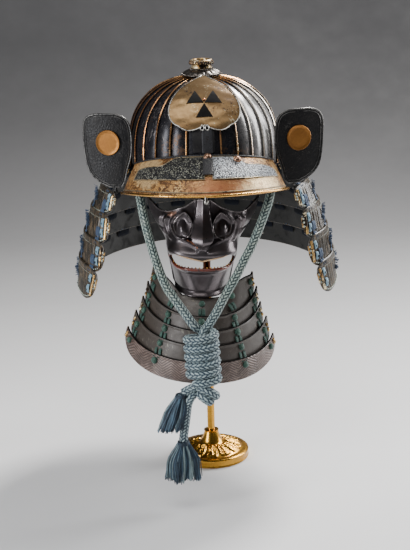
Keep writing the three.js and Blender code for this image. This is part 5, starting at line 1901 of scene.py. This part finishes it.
def nostril(high, wide):
    """The middle and half width of a nostril, which leans in and narrows towards its top."""
    return NOSTRIL["x"] - NOSTRIL["lean"] * high, wide * (1 - NOSTRIL["narrow"] * high**1.5)


def mask_relief(x, z):
    """How far the mask stands out from its plain wall: nose, wings, lips, chin and wrinkles."""
    a = np.abs(x)
    nose = eased(NOSE_LEVELS, "z", z, "out")
    half = eased(NOSE_LEVELS, "z", z, "half")
    ridge = nose * (1 - 0.24 * (a / half) ** 0.9 * (a < half) - 0.24 * (a >= half))
    ridge = ridge * (1 - step(a, half, half + 3.5))
    # The nostrils are teardrops: a thin rim round a hollow with a ball standing in it.
    rise = (z - NOSTRIL["z"]) / NOSTRIL["tall"]
    high = np.clip(rise, 0, 1)
    middle, wide = nostril(high, NOSTRIL["wide"])
    wing_distance = np.hypot((a - middle) / wide, rise)
    beside = step(a, half - 1, half + 3)
    wing = 12 * bump(np.hypot((a - NOSTRIL["x"]) / NOSTRIL["wide"], rise) * 0.95)
    wing = wing * step(a, half - 2, half + 4)
    rim = 3.2 * bump((wing_distance - 0.97) / 0.12) * beside
    hollow = -7.5 * (1 - step(wing_distance, 0.35, 0.88)) * beside
    ball = 6.0 * bump(np.hypot((a - 25) / 6.5, (z - 376) / 8.5)) * beside
    slit = -3.4 * bump((z - (355.5 + 0.52 * (a - 3))) / 1.7) * step(a, 2, 6) * (1 - step(a, 22, 26))
    lid = 2.6 * bump((z - (351.6 + 0.50 * (a - 3))) / 2.6) * step(a, 2, 6) * (1 - step(a, 24, 28))
    lip = 8 * bump((z - 345) / 9) * (1 - step(a, 36, 50))
    muzzle = 3.0 * bump(np.hypot((a - 33) / 13, (z - 353) / 12))
    lower_lip = 2.6 * bump((z - (319.5 + 14 * (a / 46) ** 4)) / 2.6) * (1 - step(a, 42, 50))
    flange = 2.6 * bump((z - 285.5) / 2.8)
    groove = -0.9 * bump((z - 291) / 1.6)
    cheek = 6 * bump(np.hypot((a - 53) / 10, (z - 386) / 9))
    folds = 0
    for reach, tall, low in ((21.0, 2.8, 362), (28.0, 2.2, 366)):
        ring = np.hypot(a - 26.5, (z - 378) * 0.92)
        fold = tall * bump((ring - reach) / 2.4) * step(a, 34, 41)
        folds = folds + fold * (1 - step(z, 386, 396)) * step(z, low - 6, low)
    crease = -1.8 * bump((z - (372 - 0.25 * (a - 52))) / 1.8) * step(a, 50, 56)
    return (
        np.maximum(ridge, wing) + rim + hollow + ball + slit + lid + lip + muzzle + lower_lip
        + flange + groove + cheek + folds + crease
    )


def mask_size(z):
    """Half width, depth and squareness of the mask's plain wall at a height."""
    return (eased(MASK_LEVELS, "z", z, name) for name in ("half", "depth", "square"))


def mask_place(u, v, inset):
    """A point of the mask, u from the left ear round the nose, v from the top down."""
    turn = 90 * np.asarray(u, float)
    top, bottom = (eased(MASK_EDGES, "turn", np.abs(turn), name) for name in ("top", "bottom"))
    z = lerp(top, bottom, v)
    half, depth, square = mask_size(z)
    power = 2 / square
    x = half * np.sin(np.radians(np.abs(turn))) ** power
    y = depth * np.clip(np.cos(np.radians(turn)), 0, None) ** power
    out = mask_relief(x, z) - inset
    nx = (x / half) ** (2 / power - 1) / half
    ny = (y / depth) ** (2 / power - 1) / depth
    length = np.hypot(nx, ny)
    y = MASK["back_line"] - y - out * ny / length
    return leaned(stacked(np.sign(u) * (x + out * nx / length), y, z), MASK)


def mouth_outline(grow=0.0):
    half, wing = MOUTH["half"] + grow, MOUTH["wing"]
    corner, top, rise, bottom = MOUTH["corner"], MOUTH["top"] + grow, MOUTH["rise"], MOUTH["bottom"] - grow
    curves = [
        ((-half, corner), (-half + 2, top + rise + 1), (-wing, top + rise)),
        ((-wing, top + rise), (-half * 0.3, top + rise - 4), (0, top)),
        ((0, top), (half * 0.3, top + rise - 4), (wing, top + rise)),
        ((wing, top + rise), (half - 2, top + rise + 1), (half, corner)),
        ((half, corner), (half - 1, bottom + 0.5), (half * 0.7, bottom)),
        ((half * 0.7, bottom), (0, bottom - 0.3), (-half * 0.7, bottom)),
        ((-half * 0.7, bottom), (-half + 1, bottom + 0.5), (-half, corner)),
    ]
    points = []
    for a, b, c in curves:
        t = np.linspace(0, 1, 14)[:-1, None]
        points.append((1 - t) ** 2 * np.array(a) + 2 * t * (1 - t) * np.array(b) + t * t * np.array(c))
    return np.concatenate(points)


def mask_front(points_xz, lift):
    """Points of the mask's front face over plain (x, z) places."""
    placed = []
    for x, z in points_xz:
        half, depth, square = mask_size(z)
        share = min(0.999, abs(x) / half)
        y = depth * (1 - share**square) ** (1 / square)
        placed.append((x, MASK["back_line"] - y - mask_relief(x, z) - lift, z))
    return leaned(placed, MASK)


def cut(piece, cutter):
    modifier = piece.modifiers.new("cut", "BOOLEAN")
    modifier.operation = "DIFFERENCE"
    modifier.solver = "MANIFOLD"
    modifier.object = cutter
    plain_mesh(piece)
    bpy.data.objects.remove(cutter)
    return piece


def make_mask():
    half_us = np.concatenate([np.linspace(0, 0.62, 86)[1:], np.linspace(0.62, 1, 26)[1:]])
    us = np.concatenate([-half_us[::-1], [0], half_us])
    vs = np.linspace(0, 1, 172)
    shell = wall(lambda u, v: mask_place(u, v, 0), lambda u, v: mask_place(u, v, MASK["wall"]), us, vs)
    face = make("mask.shell", [(shell, ("mask lacquer", "mask lining", "mask lacquer"))], 55)

    outline = mouth_outline()
    mouth = skin([leaned(stacked(outline[:, 0], y, outline[:, 1]), MASK) for y in (-175, -60)])
    cut(face, make("mouth.cutter", [(mouth, "lip lacquer")]))
    face.data.set_sharp_from_angle(angle=math.radians(55))
    parts = [face]

    upper, lower = outline[8:45], outline[54:91]
    lips = []
    for line, radius, material in ((upper, 1.5, "pale gilding"), (lower, 2.3, "lip lacquer")):
        lips.append((tube(smooth_path(mask_front(line, -0.8), 1.2), radius, 10), material))
    parts.append(make("mask.lips", lips, 60))
    tooth = ball(1.0, 8, 5, (1.7, 1.1, 2.0))
    for line, drop in ((upper[5:-5:2], 1.0), (lower[3:-3:2], -2.2)):
        places, along = bead_along(smooth_path(mask_front(line - [0, drop], -2.4), 1.0), 5.2)
        parts.append(set_on(
            "mask.teeth", tooth, places, (0, -0.15, 1), along, "gilding", size=0.75, vary=0.35, seed=3,
        ))

    studs = mask_front([(-8, 348), (8, 348), (-46, 389.5), (46, 389.5)], 0.0)
    eyelet = lathe([(1.9, 0.2), (2.6, 0), (3.2, 0.8), (2.8, 1.5), (1.9, 1.2), (1.7, 0.4)], 18)
    parts.append(set_on("mask.eyelets", eyelet, studs[2:], (0, -1, 0.2), (1, 0, 0), "mask lacquer"))
    # painted shade: a black disc in each eyelet stands for the dark of its hole
    hole = lathe([(0, 0.5), (1.8, 0.5), (1.8, -0.3), (0, -0.3)], 14)
    parts.append(set_on("mask.holes", hole, studs[2:], (0, -1, 0.2), (1, 0, 0), "pitch black"))
    stud = ball(1.0, 10, 6, (1, 1, 0.6))
    parts.append(set_on("mask.studs", stud, studs[:2], (0, -1, 0), (1, 0, 0), "mask lacquer", size=2.1))

    edges = [(tube(mask_place(us, 0 * us + 1, -0.4), 1.2, 8), "mask lacquer")]
    edge_v = np.linspace(0, 1, 90)
    for end in (-1.0, 1.0):
        edges.append((tube(mask_place(0 * edge_v + end, edge_v, 1.0), 1.4, 8), "mask lacquer"))
    # the top edge and the nostril rims take a pale painted highlight
    edges.append((tube(mask_place(us, 0 * us, -0.2), 0.9, 8), "mask edging"))
    around = np.linspace(0, 2 * math.pi, 60, endpoint=False)
    middle, wide = nostril(np.clip(np.sin(around), 0, 1), 12.6)
    for side in (-1, 1):
        ring_x = side * (middle + wide * np.cos(around))
        ring = mask_front(np.stack([ring_x, NOSTRIL["z"] + 16.6 * np.sin(around)], -1), -0.1)
        edges.append((tube(ring, 0.75, 8, closed=True), "mask edging"))
    slit_x = np.linspace(-21, -7, 12)
    slit = mask_front(np.stack([slit_x, 353.2 + 0.52 * (-slit_x - 3)], -1), 0.5)
    edges.append((tube(slit, 0.9, 8), "copper"))
    parts.append(make("mask.edges", edges, 60))

    peg = lathe([(1.6, 0), (2.2, 1.0), (1.4, 3.5), (2.8, 8.5), (2.3, 9.8), (0.5, 10.2)], 14)
    set_at(peg, (72, -32, 350), (0.9, -0.35, 0.1))
    parts.append(make("mask.peg", [(peg, "silver trim")]))
    fit(join("iron_face_mask", parts), "mask_iron", "face_mask")


# ---- throat guard ----------------------------------------------------------------------------


def throat_edge(row, u, inset):
    edge = {key: values[row] for key, values in THROAT_EDGES.items()}
    # The top plate climbs to meet the jaw on each side of the chin.
    swell = THROAT["climb"] * np.sin(math.pi * np.clip((np.abs(u) - 0.32) / 0.64, 0, 1)) * (row == 0)
    end_turn = math.acos(THROAT["end"] / edge["depth"])
    half_axis = edge["half"] / math.sin(end_turn)
    turn = end_turn * np.asarray(u, float)
    down = row / 9
    return stacked(
        (half_axis - inset) * np.sin(turn) * lerp(*THROAT["grow"], down) + lerp(*THROAT["shift"], down),
        THROAT["back_line"] - (edge["depth"] - inset) * np.cos(turn),
        lerp(edge["middle"], edge["corner"], np.abs(u) ** 3) + swell,
    )


def throat_point(number, u, v, inset=0.0):
    corner = 0.6 if number == 5 else 0.25
    q = np.clip((np.abs(u) - 0.8) / 0.2, 0, 1)
    low = 1 - corner * (1 - np.sqrt(np.clip(1 - q * q, 0, 1)))
    t = (low * v)[..., None]
    return lerp(throat_edge(2 * number - 2, u, inset), throat_edge(2 * number - 1, u, inset), t)


def throat_facing(number, u, v):
    small = 1e-3
    along = throat_point(number, u + small, v) - throat_point(number, u - small, v)
    down = throat_point(number, u, v + 0.02) - throat_point(number, u, v - 0.02)
    out = np.cross(along, down)
    out *= np.sign(-out[..., 1:2])
    return (
        out / np.linalg.norm(out, axis=-1, keepdims=True),
        along / np.linalg.norm(along, axis=-1, keepdims=True),
    )


def throat_place(number, u, v, inset):
    return leaned(throat_point(number, u, v, inset), THROAT)


def on_throat(name, part, number, u, v, lift, material, **more):
    """One small part on many places of a throat plate, standing lift above its face."""
    v = 0 * u + v
    out, along = throat_facing(number, u, v)
    return set_on(name, part, throat_place(number, u, v, -lift), out, along, material, **more)


def make_throat_plate(number):
    """One lame of the throat guard with its rims, knots, beads and lacing."""
    lacquer = "engraved lacquer" if number == 5 else "throat lacquer"

    def outer(u, v):
        roll = 1.1 * bump((v - 0.03) / 0.03) + 0.9 * bump((v - 0.985) / 0.02)
        belly = 0.7 * np.sin(math.pi * v)
        return throat_place(number, u, v, -(0.1 + roll + belly))

    us = np.linspace(-1, 1, 130)
    sheet = wall(outer, lambda u, v: throat_place(number, u, v, 1.8), us, np.linspace(0, 1, 21))
    # the plate's cut edges take the painted shade black
    pieces = [make(f"throat.{number}", [(sheet, (lacquer, "lame lining", "pitch black"))], 50)]
    rims = []
    # the top rim is a painted shadow line in painted shade black
    for v, radius, trim in ((0.0, 0.9, "pitch black"), (1.0, 1.0, "throat lacquer")):
        rims.append((tube(throat_place(number, us, 0 * us + v, 0.7), radius, 8), trim))
    for end in (-1.0, 1.0):
        v = np.linspace(0, 1, 20)
        rims.append((tube(throat_place(number, 0 * v + end, v, 0.7), 1.3, 8), "worn gilding"))
    pieces.append(make("throat.rims", rims, 60))

    where = np.array([-0.86, -0.46, 0.0, 0.46, 0.86])
    pair = np.concatenate([where - 0.025, where + 0.025])
    if number < 5:
        loop = lacing_loop(2.5, 5.5, 1.0)
        pieces.append(on_throat(
            "throat.loop", loop, number, pair, 0.64, 0.9, "green lacing", vary=0.1, seed=number,
        ))
    knob = ball(1.0, 12, 7, (1, 1, 0.8))
    pieces.append(on_throat(
        "throat.knob", knob, number, where, 0.24 if number < 5 else 0.3, 1.8, "green knots", size=4.8,
        vary=0.12, seed=number,
    ))
    tip_u, tip_v = np.array([(-0.94, 0.22), (-0.955, 0.52), (0.94, 0.22), (0.955, 0.52)]).T
    pieces.append(on_throat(
        "throat.bead", knob, number, tip_u, tip_v, 1.6, "worn gilding", size=3.2, vary=0.15,
    ))
    if number < 5:
        low = throat_place(number, pair, 0 * pair + 1.0, 0.9)
        high = throat_place(number + 1, pair, 0 * pair + 0.08, -0.6)
        bands = [np.array([a, lerp(a, b, 0.5), b]) for a, b in zip(low, high)]
        pieces.append(sweep("throat.hang", bands, 1.5, "green lacing", 6))
    fit(join(f"throat_plate_{number}", pieces), "brown_lacquer", f"throat_lame_{number}")


def make_throat_guard():
    for number in range(1, 6):
        make_throat_plate(number)


# ---- stand -----------------------------------------------------------------------------------


LEAVES = {"count": 12, "from": 45, "to": 18.5, "over": 13.2}


def foot_leaves(radius, height, turn):
    """Twelve veined leaves round the foot's dome, with a second row showing between them."""
    if not (LEAVES["to"] <= radius <= LEAVES["from"] and height > LEAVES["over"]):
        return 0
    along = (LEAVES["from"] - radius) / (LEAVES["from"] - LEAVES["to"])
    place = turn / (2 * math.pi) * LEAVES["count"]
    leaf = np.abs(place % 1 - 0.5) * 2
    between = np.abs((place + 0.5) % 1 - 0.5) * 2
    width = 0.95 * np.sin(math.pi * min(1, 0.18 + 0.72 * along)) ** 0.6
    body = step(leaf, 1 - width, 1 - width + 0.22)
    vein = 0.5 * bump((leaf - 1) / 0.10) + 0.5 * np.abs(np.sin(5 * math.pi * (along + 0.9 * leaf)))
    second = 0.5 * step(between, 0.55, 0.75) * step(along, 0.25, 0.45)
    fade = step(along, 0.0, 0.08) * (1 - step(along, 0.88, 1.0))
    return (2.3 * body * (0.6 + 0.8 * vein) + second) * fade


def make_stand():
    """A turned and cast brass foot with leaves, its post and top, and the bracket for the mask."""
    outline = [
        (0.01, 0), (54, 0), (55, 1.0), (55, 2.0), (54.2, 2.8), (54.4, 3.6), (54.6, 9.6), (55, 10.4),
        (54.6, 11.6), (53, 12.4), (50, 12.8), (48, 12.9), (46, 13.1),
    ]
    dome = [(lerp(45, 18.5, t), 13.3 + 9.2 * t**0.9) for t in np.linspace(0, 1, 40)]
    neck = [
        (17.4, 23.2), (15.6, 25.5), (13.4, 29.5), (11.6, 34.5), (10.4, 38.4), (10.2, 39.2), (10.9, 39.8),
        (10.9, 41.0), (10.2, 41.2), (0.01, 41.2),
    ]
    foot = lathe([*outline, *dome, *neck], 240, foot_leaves)
    fit(make("brass_foot", [(foot, "polished brass")], 60), "brass", "stand_base")

    heights = [POST["foot"], POST["foot"] + 3, *np.linspace(60, POST["top"] - 4, 20), POST["top"]]
    profile = [(0.01, POST["foot"]), *((POST["radius"], z) for z in heights), (0.01, POST["top"])]
    fit(make("brass_post", [(lathe(profile, 40), "darkened brass")]), "brass", "stand_post")
    for node in ("stand_top", "mask_bracket"):
        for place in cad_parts[node].material_slots:
            place.material = paint("polished brass")


# ---- the panel's values ----------------------------------------------------------------------


def length(name, words, default):
    return FloatProperty(name=name, description=words, default=default, unit="LENGTH", min=0)


def colour(name, words, default):
    return FloatVectorProperty(
        name=name, description=words, default=default, subtype="COLOR", size=3, min=0, max=1,
    )


class KabutoSizes(bpy.types.PropertyGroup):
    rib_width: length("Rib width", "Thickness of the raised ribs of the bowl", 0.0019)
    scale_pitch: length("Scale pitch", "Width of one lacquered scale of the neck guard", 0.0072)
    lacing_pitch: length("Lacing pitch", "Distance between two lacings of the neck guard", 0.042)
    cord_radius: length("Cord radius", "Half the thickness of the chin cord", 0.006)
    braid_pitch: length("Braid pitch", "Length of one crossing in the cord's braid", 0.0054)
    tassel_thread: length("Tassel thread", "Thickness of one thread of the tassels", 0.0011)
    camera_place: FloatVectorProperty(
        name="Camera place", description="Where the camera stands", default=(-0.003, -1.9273, 0.8145),
        subtype="XYZ", unit="LENGTH", size=3,
    )
    camera_aim: FloatVectorProperty(
        name="Camera aim", description="The point that the camera looks at", default=(-0.003, 0.0, 0.280),
        subtype="XYZ", unit="LENGTH", size=3,
    )
    camera_roll: FloatProperty(
        name="Camera roll", description="How far the camera leans sideways", default=math.radians(-1.6),
        unit="ROTATION",
    )
    camera_lens: FloatProperty(
        name="Camera lens", description="Focal length for a 36 mm frame", default=90.26, unit="CAMERA",
        min=10,
    )
    light: FloatProperty(name="Light", description="Strength of all lamps together", default=1.0, min=0)


class KabutoColours(bpy.types.PropertyGroup):
    iron: colour("Iron", "Blued iron of the bowl", (0.014, 0.014, 0.019))
    gilt: colour("Gilding", "Gilt rim and rings", (0.66, 0.38, 0.10))
    leaf: colour("Leaf", "Leaf lacquer of the visor", (0.47, 0.26, 0.09))
    leather: colour("Leather", "Black grained leather", (0.008, 0.008, 0.009))
    silver: colour("Silver", "Silver edging", (0.46, 0.45, 0.42))
    crest: colour("Crest", "Tarnished plate of the crest", (0.25, 0.160, 0.072))
    mask: colour("Mask", "Lacquered iron of the mask", (0.085, 0.074, 0.079))
    throat: colour("Throat guard", "Brown lacquer of the throat guard", (0.040, 0.031, 0.024))
    lacquer: colour("Scales", "Black lacquer of the neck guard", (0.016, 0.014, 0.012))
    lining: colour("Lining", "Inside of the neck and throat guards", (0.040, 0.044, 0.036))
    cord_pale: colour("Pale silk", "Pale threads of the chin cord", (0.56, 0.64, 0.54))
    cord_dark: colour("Dark silk", "Dark threads of the chin cord", (0.004, 0.020, 0.028))
    brass: colour("Brass", "Polished brass of the stand", (0.66, 0.355, 0.055))
    floor: colour("Floor", "Studio floor and backdrop", (0.66, 0.66, 0.665))


class KabutoCamera(bpy.types.Operator):
    """Stand the camera in front of the helmet, a little above it"""
    bl_idname = "kabuto.camera"
    bl_label = "Camera"

    def execute(self, context):
        set_camera()
        return {"FINISHED"}


class KabutoChinCord(bpy.types.Operator):
    """Braid the chin cord, wind its knot and hang its tassels"""
    bl_idname = "kabuto.chin_cord"
    bl_label = "Chin cord"

    def execute(self, context):
        make_chin_cord()
        return {"FINISHED"}


class KabutoStage(bpy.types.Operator):
    """Lay the pale floor and set the soft lamps"""
    bl_idname = "kabuto.stage"
    bl_label = "Stage"

    def execute(self, context):
        set_stage()
        return {"FINISHED"}


class KabutoBowl(bpy.types.Operator):
    """Make the iron bowl with its ribs and the band at its foot"""
    bl_idname = "kabuto.bowl"
    bl_label = "Bowl"

    def execute(self, context):
        make_bowl()
        return {"FINISHED"}


class KabutoCrown(bpy.types.Operator):
    """Make the flower plate and the gilt ring on top of the bowl"""
    bl_idname = "kabuto.crown"
    bl_label = "Crown fitting"

    def execute(self, context):
        make_crown()
        return {"FINISHED"}


class KabutoVisor(bpy.types.Operator):
    """Make the visor with its rim, leathers, strap and rivets"""
    bl_idname = "kabuto.visor"
    bl_label = "Visor"

    def execute(self, context):
        make_visor()
        return {"FINISHED"}


class KabutoCrest(bpy.types.Operator):
    """Make the crest with its three leaves and the irons that hold it"""
    bl_idname = "kabuto.crest"
    bl_label = "Crest"

    def execute(self, context):
        make_crest()
        return {"FINISHED"}


class KabutoEarPlates(bpy.types.Operator):
    """Make the two turned-back ear plates with their discs"""
    bl_idname = "kabuto.ear_plates"
    bl_label = "Ear plates"

    def execute(self, context):
        make_ear_plates()
        return {"FINISHED"}


class KabutoNeckGuard(bpy.types.Operator):
    """Make the five laced plates of the neck guard"""
    bl_idname = "kabuto.neck_guard"
    bl_label = "Neck guard"

    def execute(self, context):
        make_neck_guard()
        return {"FINISHED"}


class KabutoMask(bpy.types.Operator):
    """Make the iron face mask"""
    bl_idname = "kabuto.mask"
    bl_label = "Face mask"

    def execute(self, context):
        make_mask()
        return {"FINISHED"}


class KabutoThroatGuard(bpy.types.Operator):
    """Make the five plates of the throat guard"""
    bl_idname = "kabuto.throat_guard"
    bl_label = "Throat guard"

    def execute(self, context):
        make_throat_guard()
        return {"FINISHED"}


class KabutoStand(bpy.types.Operator):
    """Make the brass foot and post and polish the rest of the stand"""
    bl_idname = "kabuto.stand"
    bl_label = "Stand"

    def execute(self, context):
        make_stand()
        return {"FINISHED"}


STEPS = (
    KabutoCamera, KabutoChinCord, KabutoStage, KabutoBowl, KabutoCrown, KabutoVisor, KabutoCrest,
    KabutoEarPlates, KabutoNeckGuard, KabutoMask, KabutoThroatGuard, KabutoStand,
)


class KabutoPanel(bpy.types.Panel):
    """Lists the steps that make the helmet, with their sizes and colours"""
    bl_idname = "VIEW3D_PT_kabuto"
    bl_label = "Kabuto"
    bl_space_type = "VIEW_3D"
    bl_region_type = "UI"
    bl_category = "Kabuto"

    def draw(self, context):
        for values in (context.scene.kabuto_sizes, context.scene.kabuto_colours):
            box = self.layout.box()
            for name in values.__annotations__:
                box.prop(values, name)
        for made in STEPS:
            self.layout.operator(made.bl_idname)


CLASSES = (KabutoSizes, KabutoColours, *STEPS, KabutoPanel)


def register():
    for made in CLASSES:
        bpy.utils.register_class(made)
    bpy.types.Scene.kabuto_sizes = PointerProperty(type=KabutoSizes)
    bpy.types.Scene.kabuto_colours = PointerProperty(type=KabutoColours)


def unregister():
    del bpy.types.Scene.kabuto_colours
    del bpy.types.Scene.kabuto_sizes
    for made in reversed(CLASSES):
        bpy.utils.unregister_class(made)


def main():
    register()
    for made in STEPS:
        group, name = made.bl_idname.split(".")
        getattr(getattr(bpy.ops, group), name)()


if __name__ == "__main__":
    main()
